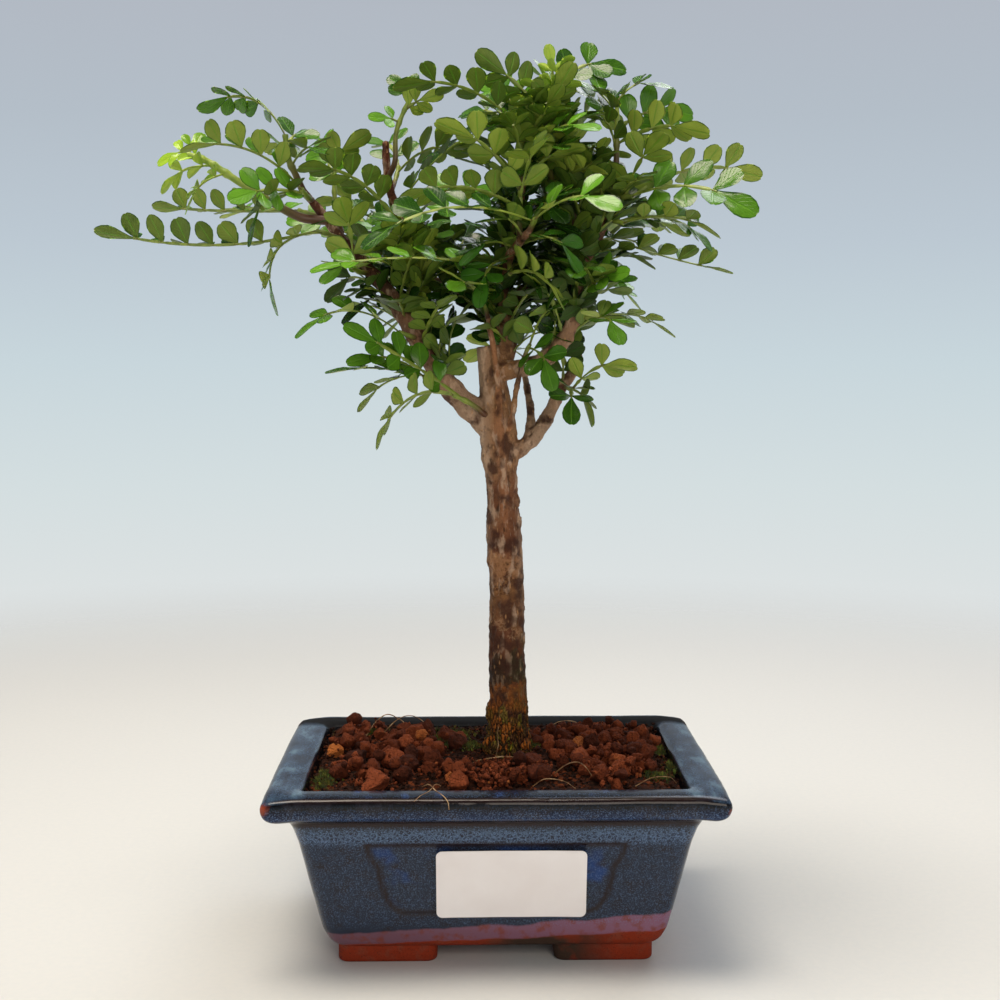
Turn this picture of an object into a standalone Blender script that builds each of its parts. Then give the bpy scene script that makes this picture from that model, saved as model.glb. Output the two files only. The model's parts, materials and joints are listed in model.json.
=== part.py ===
"""Chinese pepper bonsai, a small indoor tree in a glazed stoneware pot.

The pot stands on four feet. It holds soil with a plain hole for the root end of
the trunk, and beds of lava gravel lie on the soil. Trunk and limbs are one piece
of wood. Each leafy shoot is a piece of its own: a green stem with feathered
leaves, whose leaflets stand in pairs along a winged rib.

Lengths are in metres and +Z is up. The pot's front, with its label, faces -Y.
Places in the tables are in millimetres from the middle of the pot on its table.
"""

import math

import bmesh
import bpy
import numpy as np
from mathutils import Quaternion, Vector
from mathutils.bvhtree import BVHTree

MM = 0.001
GAP = 0.3 * MM  # between pieces that touch

# The pot, from the table up
POT_WIDTH = 150 * MM
POT_DEPTH = 112 * MM
POT_HEIGHT = 62 * MM
FOOT_HEIGHT = 6 * MM
FOOT_WIDTH = 33 * MM
FOOT_DEPTH = 24 * MM
FOOT_SPAN = 105 * MM  # over the outer ends of two feet
FOOT_SETBACK = 0.6 * MM  # behind the edge of the base
FLOOR_TOP = 12 * MM
WALL_FOOT = 13 * MM  # the wall is flat from here
WALL_HEAD = 43 * MM  # up to here, and flares above
BASE_INSET = 21 * MM  # insets are behind the edge of the rim
WALL_FOOT_INSET = 17.2 * MM
WALL_HEAD_INSET = 10.8 * MM
MOUTH_INSET = 13.4 * MM
WALL_THICKNESS = 6 * MM
FLOOR_COVE = 2 * MM  # between the floor and the inner wall
WALL_CORNER = 6 * MM  # radius of the wall's upright corners
INNER_CORNER = 5 * MM
BASE_ROUND = 1.5 * MM
FOOT_CORNER = 3 * MM
FOOT_CHAMFER = 0.8 * MM
FOOT_SUNK = 1 * MM  # into the base
# The pot's section above the flat wall: inset, depth below the top, corner radius
FLARE = [(8.6, 12, 6), (7, 9.4, 5)]
RIM_OUTSIDE = [(4.6, 7.6, 4.4), (1.4, 5.2, 3.8), (0, 2.2, 3.4), (0.4, 0.7, 3.4), (1.6, 0, 3.4)]
RIM_INSIDE = [(11, 0, 3.4), (12.6, 1.2, 3.4), (13.4, 4, 4)]
DRAIN_RADIUS = 5 * MM
DRAIN_SIDES = 16
DRAIN_OFFSET = 24 * MM
NET_SIDE = 20 * MM
NET_THICKNESS = 1 * MM
NET_CORNER = 1 * MM

# The panel sunk in the front and the back wall, as its right half from top to bottom
PANEL_HALF = [(42, 43.5), (40.5, 38.5), (38, 35), (37.5, 30), (36, 24.5), (33.5, 20.7), (30, 19)]
PANEL_SINK = 0.8 * MM
CUTTER_PROUD = 4 * MM  # how far a cutter stands out of what it cuts

# The label stuck on the front
LABEL_WIDTH = 49 * MM
LABEL_HEIGHT = 24.5 * MM
LABEL_THICKNESS = 0.6 * MM
LABEL_CORNER = 2 * MM
LABEL_MIDDLE = (5.0 * MM, 29.7 * MM)  # across, and up

# Soil and gravel
SOIL_EDGE = 58.4 * MM
SOIL_SHOULDER = 40 * MM  # where its side turns to follow the flare
SOIL_MOUND = 4.2 * MM
SOIL_MOUND_REACH = 24 * MM
SOIL_UNEVEN = 0.5 * MM
SOIL_WAVES = (9 * MM, 7 * MM)  # across and along, a wave is this long for each radian
SOIL_CORNER_STEPS = 3
SOIL_RING_SHARES = (0.25, 0.55, 0.8, 1)  # of the way from the wall to the hole
TRUNK_FOOT = Vector((4.5, 0, 0)) * MM
HOLE_RADIUS = 9.45 * MM
HOLE_BOTTOM = 46 * MM
GRAVEL_SPACING = 11 * MM
GRAVEL_RADIUS = 5 * MM
GRAVEL_SHIFT = 1 * MM  # of a stone from its place in the row
GRAVEL_STAGGER = 0.25  # of the spacing, each row to one side
GRAVEL_MARGIN = 0.3  # of the spacing, kept free at the ends of a row
GRAVEL_UNEVEN = (0.75, 1.15)  # of the radius
GRAVEL_CLEARING = 14 * MM  # round the trunk
STONE_SEAT = 0.25  # of a stone's radius, its middle above the soil
STONE_CORNERS = (0.85, 1.2)  # of its radius
GRIT_SECTION = [(1, -1.5), (1, 0.5), (0.85, 1.3), (0.4, 1.3)]  # share of the reach, and above the soil
GRIT_SIDES = 14
BASIN_DEPTH = 3 * MM  # below the edge of the soil
BASIN_CORNER = 4 * MM
# name, middle x and y, half length and half width
GRAVEL_BEDS = [
    ("gravel_left", -37, 3, 20, 37),
    ("gravel_right", 40, 4, 19, 36),
    ("gravel_front", 2, -28, 18, 11),
]

# The trunk: x, z, radius. The cut top leans left.
TRUNK = [
    (4.5, 47, 8.6), (4.5, 63, 8.9), (4.9, 69, 7.5), (5.0, 80, 6.6), (4.6, 91, 6.2),
    (4.4, 102, 6.2), (4.5, 120, 5.9), (3.5, 137, 6.1), (3.0, 148, 5.5), (2.6, 158, 5.4),
    (1.8, 167, 6.0), (1.4, 176, 6.4), (0.4, 186, 5.4), (-1.0, 196, 4.4), (-2.0, 205, 4.1),
]
TRUNK_SIDES = 12
TRUNK_SWELL = 0.035  # of its radius
SWELL_TURNS = (3, 2.1)  # lobes round the trunk, and the turn from ring to ring
FIRST_UNEVEN_RING = 2  # above the hole in the soil
LIMB_TAPER = 0.8

# The limbs: name, radius at the start and at the end, sides, points
LIMBS = [
    ("left", 4.9, 1.3, 8, [(0, 0, 176), (-13.5, -2, 188.5), (-24, -4, 203), (-31, -5, 215),
                           (-37, -5, 224), (-45, -4, 233), (-52, -2, 241), (-59, 0, 250), (-65, 0, 257)]),
    ("left_fork", 2.6, 1.3, 6, [(-23, -4, 202), (-27, 4, 220), (-30, 6, 238), (-33, 5, 250),
                                (-36, 2, 260), (-37, 2, 274)]),
    ("right", 3.6, 1.5, 7, [(-1, 0, 196), (9, -3, 197), (17, -6, 200), (23, -8, 206), (27, -8, 214),
                            (28, -6, 222), (28, -3, 230), (27, 0, 239), (25, 4, 246), (24, 8, 253)]),
    ("right_fork", 1.9, 1.2, 6, [(28, -3, 229), (34, 0, 238), (38, 2, 246), (41, 3, 254.5), (42, 3, 262)]),
    ("centre", 3.4, 1.3, 7, [(-1, 0, 196), (5, 2, 203), (4, 2, 213), (3, 0, 224), (3, -3, 234),
                             (6, -5, 243), (9, -8, 253)]),
    ("low_right", 3.3, 1.5, 7, [(3, 0, 166), (10, 0, 170), (16, 0, 176), (20, 2, 183), (24, 4, 191),
                                (29, 6, 198), (29, 8, 207)]),
    ("low_back", 1.9, 1.1, 6, [(12, 0, 172), (13, 6, 181), (12, 12, 189), (11, 18, 196)]),
    ("twig", 1.3, 0.9, 6, [(3, -2, 170), (6, -7, 180), (7.5, -7.5, 190), (10, -7, 200)]),
    ("stub", 1.9, 1.0, 6, [(3.6, -4.5, 141), (3, -6, 158), (2, -6.6, 174), (1.3, -5.6, 190),
                           (-0.2, -5.6, 203), (-2.2, -8, 214)]),
    ("back_left", 2.5, 1.2, 6, [(4, 1, 207), (-4, 12, 218), (-16, 24, 226), (-28, 36, 232), (-40, 45, 236)]),
    ("back_right", 2.5, 1.2, 6, [(4, 1, 214), (10, 12, 224), (20, 26, 230), (28, 40, 236), (33, 48, 242)]),
    ("front", 2.0, 1.1, 6, [(3, -1, 227), (5, -12, 234), (8, -22, 238), (11, -32, 241)]),
]

# The leafy shoots: name, radius, share of the stem without leaves, stem, leaves.
# A leaf is its tip, pairs of leaflets, arch, roll and fold in degrees, leaflet length.
SHOOTS = [
    ("shoot_left_reach", 1.2, 0.5, [(-51, -3, 240), (-56, -6, 242), (-60, -7, 243)], [
        ((-72, -20, 213), 3, 12, 30, 15, 9), ((-133, -12, 243), 5, -5, 35, 50, 9.5)]),
    ("shoot_left_young", 1.9, 0.62, [(-57, -1, 247), (-66, -3, 248), (-77, -3, 254), (-86, -4, 259.5),
                                     (-97, -4, 266.5), (-104, -4, 268.5)], [
        ((-103, -13, 248), 2, 3, 20, 15, 7), ((-111, -12, 255), 1, 3, 35, 15, 7),
        ((-114, -1, 266), 1, 3, -55, 15, 6.5), ((-99, 3, 277), 1, 1, 30, 15, 5.5)]),
    ("shoot_left_top", 1.5, 0.3, [(-65, 0, 257), (-67, -3, 262), (-69.5, -5, 268), (-70, -6, 275)], [
        ((-54, -22, 267), 1, 4, 10, 15, 9.5), ((-78, 12, 272), 1, 4, 22, 15, 9.5),
        ((-60, 8, 277), 1, 3, 35, 15, 9.5), ((-102, 0, 279), 2, 9, -150, 15, 8.5)]),
    ("shoot_left_front", 1.3, 0.4, [(-62, 0, 254), (-62.5, -8, 254), (-64, -13, 256)], [
        ((-80, -28, 236), 2, 8, 25, 15, 9.5), ((-84, -36, 250), 2, 2, -50, 15, 9),
        ((-102, -26, 267), 3, 7, 15, 55, 9)]),
    ("shoot_left_back", 1.2, 0.5, [(-57, 1, 248), (-63, 8, 250), (-68, 13, 252)], [
        ((-100, 44, 253), 2, 2, -10, 15, 9), ((-122, 28, 255), 4, -1, 35, 50, 8.5)]),
    ("shoot_left_high", 1.2, 0.4, [(-52, 0, 243), (-54, 4, 250), (-55, 7, 258), (-55, 8, 265)], [
        ((-64, 30, 278), 1, 4, -50, 15, 9), ((-43, 8, 278), 1, 3, -60, 15, 8.5)]),
    ("shoot_left_under", 1.2, 0.5, [(-42, -5, 229), (-45, -11, 229), (-47, -14, 230)], [
        ((-56, -26, 225), 1, 3, -10, 15, 8.5), ((-50, -30, 252), 2, 4, 22, 15, 9.5)]),
    ("shoot_trunk_left", 1.3, 0.4, [(-3, -4.5, 181), (-8, -9, 185), (-14, -11, 188)], [
        ((-49, -27, 211), 4, 1, -60, 15, 9), ((-39, -40, 171), 2, 8, 60, 15, 8.5)]),
    ("shoot_limb_left", 1.3, 0.4, [(-18, -3, 195), (-21, -8, 194), (-24, -10, 194)], [
        ((-48, 10, 182), 2, 5, -10, 15, 8.5), ((-57, -14, 193), 3, 2, -10, 15, 9),
        ((-49, -20, 199), 2, 4, -40, 15, 8.5)]),
    ("shoot_limb_front", 1.2, 0.5, [(-26, -5, 207), (-29, -11, 208), (-32, -13, 209)], [
        ((-66, -24, 207), 3, 8, -12, 15, 9)]),
    ("shoot_fork_low", 1.2, 0.5, [(-28, 5, 226), (-30, 11, 228), (-31, 14, 229)], [
        ((-6, 34, 240), 2, 6, -18, 15, 9.5), ((-60, 36, 232), 3, 7, -55, 15, 9.5)]),
    ("shoot_fork_front", 1.2, 0.5, [(-31, 6, 242), (-33, -1, 246), (-34, -5, 248)], [
        ((-64, -26, 262), 3, 6, 30, 15, 9.5), ((2, -22, 277), 3, 5, 20, 15, 9.5)]),
    ("shoot_fork_back", 1.2, 0.5, [(-35, 3, 258), (-34, 9, 262), (-33, 12, 267)], [
        ((-8, 26, 274), 2, 5, -45, 15, 9.5), ((-42, 36, 278), 2, 4, -18, 15, 9.5)]),
    ("shoot_fork_top", 1.2, 0.5, [(-36, 1.5, 262), (-33.5, -2, 267), (-33, -1, 277), (-28, -1, 289)], [
        ((-42, -6, 281), 1, 1, -60, 15, 6), ((-17, -5, 289), 1, 1, -60, 15, 6.5),
        ((-36, 3, 296), 1, 1, -60, 15, 6.5)]),
    ("shoot_centre_top", 1.4, 0.4, [(9, -8, 253), (9.5, -8, 262), (9, -8, 270), (9, -8, 277)], [
        ((36, -26, 275), 2, 5, 25, 15, 9.5), ((-12, 16, 286), 2, 5, -40, 15, 9.5),
        ((-34, -16, 289), 3, 7, 30, 15, 9.5)]),
    ("shoot_crown", 1.4, 0.6, [(24, 8, 253), (20.5, 3, 259), (18.5, -2, 266), (17.5, -4, 275),
                               (17, -4, 283)], [
        ((-4, 24, 298), 2, 4, -55, 15, 9.5), ((26, -12, 298), 1, 2, -30, 15, 9.5),
        ((-6, -8, 302), 1, 1, 75, 15, 9)]),
    ("shoot_crown_back", 1.3, 0.5, [(26, 2, 243), (28, 0, 249), (25.5, 3, 260), (23.5, 5, 272), (23, 6, 285),
                                    (23, 6, 296)], [
        ((46, 28, 284), 2, 5, -45, 15, 9.5), ((14, 3, 302), 1, 1, -35, 15, 6),
        ((46, 10, 300), 2, 4, 60, 15, 9.5)]),
    ("shoot_right_top", 1.3, 0.25, [(42, 3, 262), (42, 2.5, 270), (42, 2, 279), (42, 2, 288)], [
        ((72, -12, 275), 2, 4, -50, 15, 9.5), ((70, 12, 285), 2, 4, 80, 15, 9.5),
        ((24, -4, 294), 1, 3, -25, 15, 9.5), ((60, -2, 292), 1, 4, 20, 15, 8.5)]),
    ("shoot_right_tuft", 1.3, 0.5, [(41, 3, 255), (44, -1, 255), (47, -3, 255)], [
        ((56, -20, 274), 2, 3, -35, 15, 9.5), ((85, -27, 247), 3, 6, 55, 15, 12),
        ((94, 12, 264), 4, 6, -50, 15, 9.5)]),
    ("shoot_right_droop", 1.2, 0.5, [(38, 2, 247), (41, -2, 247), (44, -4, 246)], [
        ((77, 8, 238), 3, 6, 45, 15, 8.5), ((74, -24, 240), 2, 4, -20, 15, 9)]),
    ("shoot_right_back", 1.2, 0.5, [(35, 1, 240), (38, 6, 241), (41, 9, 242)], [
        ((66, 42, 248), 3, 6, 35, 15, 9.5), ((85, 16, 231), 4, -1, 0, 50, 8.5)]),
    ("shoot_right_small", 1.1, 0.5, [(28, -2, 232), (31, 4, 231), (33, 7, 230)], [
        ((48, 26, 223), 1, 3, 60, 15, 9)]),
    ("shoot_right_low", 1.2, 0.5, [(27, -8, 214), (31, -11, 214), (34, -12, 213)], [
        ((62, -6, 208), 3, 4, 5, 10, 8.5), ((40, -36, 205), 1, 4, 0, 15, 9)]),
    ("shoot_right_front", 1.2, 0.5, [(28, -7, 220), (31, -13, 223), (33, -16, 225)], [
        ((43, -28, 228), 1, 2, 60, 15, 8.5), ((24, -44, 226), 2, 4, -18, 15, 9.5)]),
    ("shoot_low_end", 1.2, 0.5, [(29, 8, 207), (30, 9, 211), (31, 10, 214)], [
        ((53, 22, 213), 1, 3, 30, 15, 9)]),
    ("shoot_low_front", 1.1, 0.5, [(24, 4, 191), (26, -1, 190), (27, -4, 190)], [
        ((34, -9, 178), 1, 3, -60, 15, 8.5), ((25, -26, 179), 2, 4, -10, 15, 8.5),
        ((48, -14, 198), 2, 4, -45, 15, 8.5)]),
    ("shoot_twig", 1.0, 0.5, [(10, -7, 200), (11, -8.5, 203), (12, -10, 205)], [
        ((19, -24, 190), 2, 4, 35, 15, 8.5), ((22, -34, 218), 2, 4, 30, 15, 9.5)]),
    ("shoot_low_back", 1.1, 0.5, [(11, 18, 196), (11, 20, 199), (11, 22, 201)], [
        ((-10, 46, 200), 2, 5, 25, 15, 9.5)]),
    ("shoot_stub", 1.0, 0.5, [(-2.2, -8, 214), (-3, -9.5, 217), (-4, -11, 219)], [
        ((-14, -42, 222), 3, 4, -25, 15, 9.5)]),
    ("shoot_front_tip", 1.2, 0.5, [(11, -32, 241), (12, -35, 243), (12.5, -37, 244)], [
        ((-41, -60, 233), 4, 8, -25, 15, 10), ((38, -54, 246), 2, 5, 40, 15, 10)]),
    ("shoot_front_up", 1.2, 0.5, [(8, -22, 238), (8, -25, 243), (8, -27, 249), (8, -27, 254)], [
        ((-32, -38, 249), 3, 6, 35, 15, 9.5), ((12, -50, 269), 2, 4, 27, 15, 10),
        ((-19, -36, 275), 2, 4, 30, 15, 10)]),
    ("shoot_front_low", 1.2, 0.5, [(5, -12, 234), (5, -15, 230), (5, -18, 228)], [
        ((-59, -36, 228), 4, 4, -20, 15, 10), ((22, -42, 216), 2, 5, -45, 15, 9.5)]),
    ("shoot_back_left_tip", 1.2, 0.5, [(-40, 45, 236), (-43, 47, 238), (-45, 48, 239)], [
        ((-60, 60, 262), 2, 4, -35, 15, 9.5), ((-78, 54, 253), 2, 5, -60, 15, 9.5)]),
    ("shoot_back_left_up", 1.2, 0.4, [(-28, 36, 232), (-29, 35, 238), (-30, 33, 244), (-30, 32, 250)], [
        ((-66, 42, 258), 3, 6, 25, 15, 9.5), ((4, 44, 262), 3, 6, 50, 15, 9.5)]),
    ("shoot_back_left_low", 1.2, 0.5, [(-16, 24, 226), (-18, 27, 222), (-19, 29, 220)], [
        ((-41, 50, 209), 2, 3, -25, 15, 9.5), ((2, 58, 214), 3, 5, 40, 15, 9.5)]),
    ("shoot_back_right_tip", 1.2, 0.5, [(33, 48, 242), (35, 49, 245), (36, 50, 247)], [
        ((76, 54, 248), 3, 6, -35, 15, 9.5)]),
    ("shoot_back_right_up", 1.2, 0.4, [(20, 26, 230), (20, 25, 238), (20, 25, 246), (20, 25, 254)], [
        ((56, 34, 266), 3, 5, 55, 15, 9.5), ((12, 52, 274), 2, 4, 15, 15, 9.5)]),
    ("shoot_back_right_low", 1.2, 0.5, [(28, 40, 236), (30, 42, 232), (31, 43, 230)], [
        ((58, 50, 218), 2, 4, 20, 15, 9.5), ((16, 64, 226), 2, 4, 45, 15, 9.5)]),
]

# The leaves
SHALLOW_ARC = 8 / 3  # its length over its chord's, less 1, is this times its rise over chord squared
BLADE_THICKNESS = 0.7 * MM
RIB_HALF_WIDTH = 0.75 * MM
RIB_BARE = 0.3  # share of the rib before its first pair
ONE_PAIR = 0.8  # share of the rib before the pair of a leaf that has only one
LAST_PAIR_ROOM = 1.4 * MM  # before the end of the rib
ROOT_HALF = 0.5 * MM  # half of a leaflet's root, along the rib
LEAFLET_ANGLE = math.radians(62)  # from the rib
LEAFLET_WIDEST = 0.56  # share of its length
LEAFLET_HALF_WIDTH = 0.35
FEWEST_SPACING = 0.86  # of a leaflet's length, between pairs
END_LEAFLET = 1.35  # length, in leaflets
END_LEAFLET_HALF_WIDTH = 0.27
SWING = math.radians(3)
GOLDEN_ANGLE = math.radians(137.508)
MOST_SWINGS = 300
MOST_OWN_SWINGS = 9  # after these a leaf may cross leaves of its own shoot
STEM_SIDES = 4
STEM_TAPER = 0.4  # of its radius, to its tip
STEM_WAIST = 0.25  # of its radius, where it starts
LAST_BASE = 0.98  # share of the stem where its last leaf stands
STEM_REACH = 7 * MM  # leaves of one shoot may meet this near their bases
STEM_ROOM = 1.5 * MM  # other shoots' leaves keep this far off a stem
SEAT_STEP = 0.1 * MM
MOST_SEAT_STEPS = 40


def to_metres(values):
    return Vector(values) * MM


# Meshes and materials


def material(name, colour, roughness):
    made = bpy.data.materials.new(name)
    made.use_nodes = True
    made.diffuse_color = (*colour, 1)
    shader = made.node_tree.nodes["Principled BSDF"]
    shader.inputs["Base Color"].default_value = (*colour, 1)
    shader.inputs["Roughness"].default_value = roughness
    return made


def add_object(name, mesh, finish=None):
    made = bpy.data.objects.new(name, mesh)
    if finish:
        mesh.materials.clear()
        mesh.materials.append(finish)
    bpy.context.scene.collection.objects.link(made)
    return made


def mesh_of(points, faces):
    mesh = bpy.data.meshes.new("shape")
    mesh.from_pydata([tuple(point) for point in points], [], faces)
    return mesh


def loft_shape(rings):
    """Points and faces of a closed solid through rings of as many points, anticlockwise."""
    sides = len(rings[0])
    points = [point for ring in rings for point in ring]
    faces = [list(reversed(range(sides)))]
    for start in range(0, len(points) - sides, sides):
        for side in range(sides):
            beside = (side + 1) % sides
            faces.append((start + side, start + beside, start + sides + beside, start + sides + side))
    faces.append(list(range(len(points) - sides, len(points))))
    return points, faces


def loft(rings):
    return mesh_of(*loft_shape(rings))


def turns(sides):
    return [math.tau * side / sides for side in range(sides)]


def shade_round(mesh):
    mesh.shade_smooth()
    mesh.set_sharp_from_angle(angle=math.radians(40))


def rounded_rectangle(half_width, half_depth, radius, height, steps=2):
    ring = []
    for corner, (right, back) in enumerate([(1, 1), (-1, 1), (-1, -1), (1, -1)]):
        for step in range(steps + 1):
            angle = math.pi / 2 * (corner + step / steps)
            ring.append(Vector((
                right * (half_width - radius) + radius * math.cos(angle),
                back * (half_depth - radius) + radius * math.sin(angle),
                height,
            )))
    return ring


def boolean(target, operation, other, solver="EXACT"):
    cut = target.modifiers.new(other.name, "BOOLEAN")
    cut.operation = operation
    cut.solver = solver
    cut.object = other
    other.hide_render = True
    other.display_type = "WIRE"


def applied(obj):
    """The object's mesh as its modifiers leave it."""
    graph = bpy.context.evaluated_depsgraph_get()
    return bpy.data.meshes.new_from_object(obj.evaluated_get(graph))


def fuse(name, meshes, finish, solver="EXACT"):
    """One object from closed meshes that overlap. The helpers are removed."""
    body = add_object(name, meshes[0], finish)
    helpers = bpy.data.collections.new(name + "_pieces")
    bpy.context.scene.collection.children.link(helpers)
    for mesh in meshes[1:]:
        helpers.objects.link(bpy.data.objects.new(name + "_piece", mesh))
    join = body.modifiers.new("join", "BOOLEAN")
    join.operation = "UNION"
    join.operand_type = "COLLECTION"
    join.collection = helpers
    join.solver = solver
    joined = applied(body)
    body.modifiers.clear()
    body.data = joined
    joined.materials.clear()
    joined.materials.append(finish)
    for piece in list(helpers.objects):
        bpy.data.objects.remove(piece)
    bpy.data.collections.remove(helpers)
    return body


def without_scraps(mesh):
    """The mesh with only its largest body left."""
    shape = bmesh.new()
    shape.from_mesh(mesh)
    unseen = set(shape.verts)
    bodies = []
    while unseen:
        waiting = [unseen.pop()]
        body = []
        while waiting:
            corner = waiting.pop()
            body.append(corner)
            beside = {edge.other_vert(corner) for edge in corner.link_edges} & unseen
            unseen -= beside
            waiting.extend(beside)
        bodies.append(body)
    bodies.sort(key=len)
    bmesh.ops.delete(shape, geom=[corner for body in bodies[:-1] for corner in body], context="VERTS")
    shape.to_mesh(mesh)
    shape.free()
    return mesh


def tree_of(mesh):
    return BVHTree.FromPolygons([v.co for v in mesh.vertices], [p.vertices for p in mesh.polygons])


def crosses(tree, others):
    return any(tree.overlap(other) for other in others)


# Tubes along a path, for wood and stems


def tube_rings(path, radii, sides):
    """Rings square to the path, turned as little as the path allows."""
    rings = []
    across = None
    for index, centre in enumerate(path):
        ahead = path[min(index + 1, len(path) - 1)]
        behind = path[max(index - 1, 0)]
        along = (ahead - behind).normalized()
        across = along.orthogonal() if across is None else across - along * across.dot(along)
        across.normalize()
        upward = along.cross(across)
        rings.append([
            centre + radii[index] * (math.cos(turn) * across + math.sin(turn) * upward)
            for turn in turns(sides)
        ])
    return rings


# The pot and what lies in it


def wall_inset(height):
    """How far the flat part of the outer wall stands behind the edge of the rim."""
    rise = (height - WALL_FOOT) / (WALL_HEAD - WALL_FOOT)
    return WALL_FOOT_INSET + (WALL_HEAD_INSET - WALL_FOOT_INSET) * rise


def pot_ring(inset, height, radius):
    return rounded_rectangle(POT_WIDTH / 2 - inset, POT_DEPTH / 2 - inset, radius, height)


def inner_wall_inset(height):
    return wall_inset(height) + WALL_THICKNESS


def panel_cutter(front):
    """A plate of the panel's outline, which sinks into the flat wall."""
    outline = [*PANEL_HALF, *((-x, z) for x, z in reversed(PANEL_HALF))]
    deep, proud = [], []
    for x, z in outline:
        face = POT_DEPTH / 2 - wall_inset(z * MM)
        deep.append(Vector((x * MM, front * (face - PANEL_SINK), z * MM)))
        proud.append(Vector((x * MM, front * (face + CUTTER_PROUD), z * MM)))
    return loft([proud, deep] if front < 0 else [deep, proud])


def rim_rings(section):
    return [pot_ring(inset * MM, POT_HEIGHT - below * MM, radius * MM) for inset, below, radius in section]


def make_pot(finish):
    pot_mesh = loft([
        pot_ring(BASE_INSET, FOOT_HEIGHT, WALL_CORNER),
        pot_ring(BASE_INSET - BASE_ROUND, FOOT_HEIGHT + BASE_ROUND, WALL_CORNER),
        pot_ring(WALL_FOOT_INSET, WALL_FOOT, WALL_CORNER),
        pot_ring(WALL_HEAD_INSET, WALL_HEAD, WALL_CORNER),
        *rim_rings(FLARE + RIM_OUTSIDE + RIM_INSIDE),
        pot_ring(inner_wall_inset(WALL_HEAD), WALL_HEAD, INNER_CORNER),
        pot_ring(inner_wall_inset(FLOOR_TOP + FLOOR_COVE), FLOOR_TOP + FLOOR_COVE, INNER_CORNER),
        pot_ring(inner_wall_inset(FLOOR_TOP) + FLOOR_COVE, FLOOR_TOP, INNER_CORNER),
    ])
    shade_round(pot_mesh)
    pot = add_object("pot", pot_mesh, finish)
    foot_y = POT_DEPTH / 2 - BASE_INSET - FOOT_SETBACK - FOOT_DEPTH / 2
    for right in (-1, 1):
        for back in (-1, 1):
            foot = add_object("foot_shape", loft([
                rounded_rectangle(FOOT_WIDTH / 2 - inset, FOOT_DEPTH / 2 - inset, FOOT_CORNER, height)
                for inset, height in ((FOOT_CHAMFER, 0), (0, FOOT_CHAMFER), (0, FOOT_HEIGHT + FOOT_SUNK))
            ]))
            foot.location = (right * (FOOT_SPAN - FOOT_WIDTH) / 2, back * foot_y, 0)
            boolean(pot, "UNION", foot)
        drain = add_object("drain_cutter", loft([
            [Vector((DRAIN_RADIUS * math.cos(turn), DRAIN_RADIUS * math.sin(turn), height))
             for turn in turns(DRAIN_SIDES)]
            for height in (0, 2 * FLOOR_TOP)
        ]))
        drain.location.x = right * DRAIN_OFFSET
        boolean(pot, "DIFFERENCE", drain)
        boolean(pot, "DIFFERENCE", add_object("panel_cutter", panel_cutter(right)))
    return pot


def make_nets(finish):
    for name, right in (("drain_net_left", -1), ("drain_net_right", 1)):
        net = add_object(name, loft([
            rounded_rectangle(NET_SIDE / 2, NET_SIDE / 2, NET_CORNER, height, steps=1)
            for height in (0, NET_THICKNESS)
        ]), finish)
        net.location = (right * DRAIN_OFFSET, 0, FLOOR_TOP + GAP)


def make_label(finish):
    label = add_object("label", loft([
        rounded_rectangle(LABEL_WIDTH / 2, LABEL_HEIGHT / 2, LABEL_CORNER, height)
        for height in (0, LABEL_THICKNESS)
    ]), finish)
    across, up = LABEL_MIDDLE
    lean = math.atan2(WALL_FOOT_INSET - WALL_HEAD_INSET, WALL_HEAD - WALL_FOOT)
    outward = Vector((0, -math.cos(lean), -math.sin(lean)))
    on_wall = Vector((across, wall_inset(up) - POT_DEPTH / 2, up))
    label.location = on_wall + outward * GAP
    label.rotation_euler.x = math.pi / 2 + lean


def soil_height(x, y):
    """The soil rises to the trunk and is a little uneven."""
    away = math.hypot(x - TRUNK_FOOT.x, y - TRUNK_FOOT.y)
    mound = SOIL_MOUND * math.exp(-((away / SOIL_MOUND_REACH) ** 2))
    uneven = SOIL_UNEVEN * math.sin(x / SOIL_WAVES[0]) * math.cos(y / SOIL_WAVES[1])
    return SOIL_EDGE + mound + uneven * min(1, away / SOIL_MOUND_REACH)


def soil_rings():
    """Up the pot's wall, in over the top to the hole for the trunk, and down the hole."""
    foot = FLOOR_TOP + FLOOR_COVE + GAP
    walls = []
    for inset, height in (
        (inner_wall_inset(FLOOR_TOP) + FLOOR_COVE + GAP, FLOOR_TOP + GAP),
        (inner_wall_inset(foot) + GAP, foot),
        (inner_wall_inset(SOIL_SHOULDER) + GAP, SOIL_SHOULDER),
        (MOUTH_INSET + 2 * GAP, SOIL_EDGE),
    ):
        walls.append(rounded_rectangle(
            POT_WIDTH / 2 - inset, POT_DEPTH / 2 - inset, INNER_CORNER, height, SOIL_CORNER_STEPS))
    sides = len(walls[0])
    hole = []
    for side in range(sides):
        turn = math.tau * (side + 0.5) / sides
        hole.append(TRUNK_FOOT + Vector((math.cos(turn), math.sin(turn), 0)) * HOLE_RADIUS)
    top = []
    for share in SOIL_RING_SHARES:
        ring = [walls[-1][side].lerp(hole[side], share) for side in range(sides)]
        for point in ring:
            point.z = soil_height(point.x, point.y)
        top.append(ring)
    bottom = [Vector((point.x, point.y, HOLE_BOTTOM)) for point in hole]
    return [*walls, *top, bottom]


def make_soil(finish):
    soil = add_object("soil", loft(soil_rings()), finish)
    for right in (-1, 1):
        side = NET_SIDE / 2 + GAP
        pocket = add_object("net_pocket_cutter", loft([
            rounded_rectangle(side, side, NET_CORNER, height, steps=1)
            for height in (FLOOR_TOP - CUTTER_PROUD, FLOOR_TOP + NET_THICKNESS + 2 * GAP)
        ]))
        pocket.location.x = right * DRAIN_OFFSET
        boolean(soil, "DIFFERENCE", pocket)
    return soil


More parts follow.
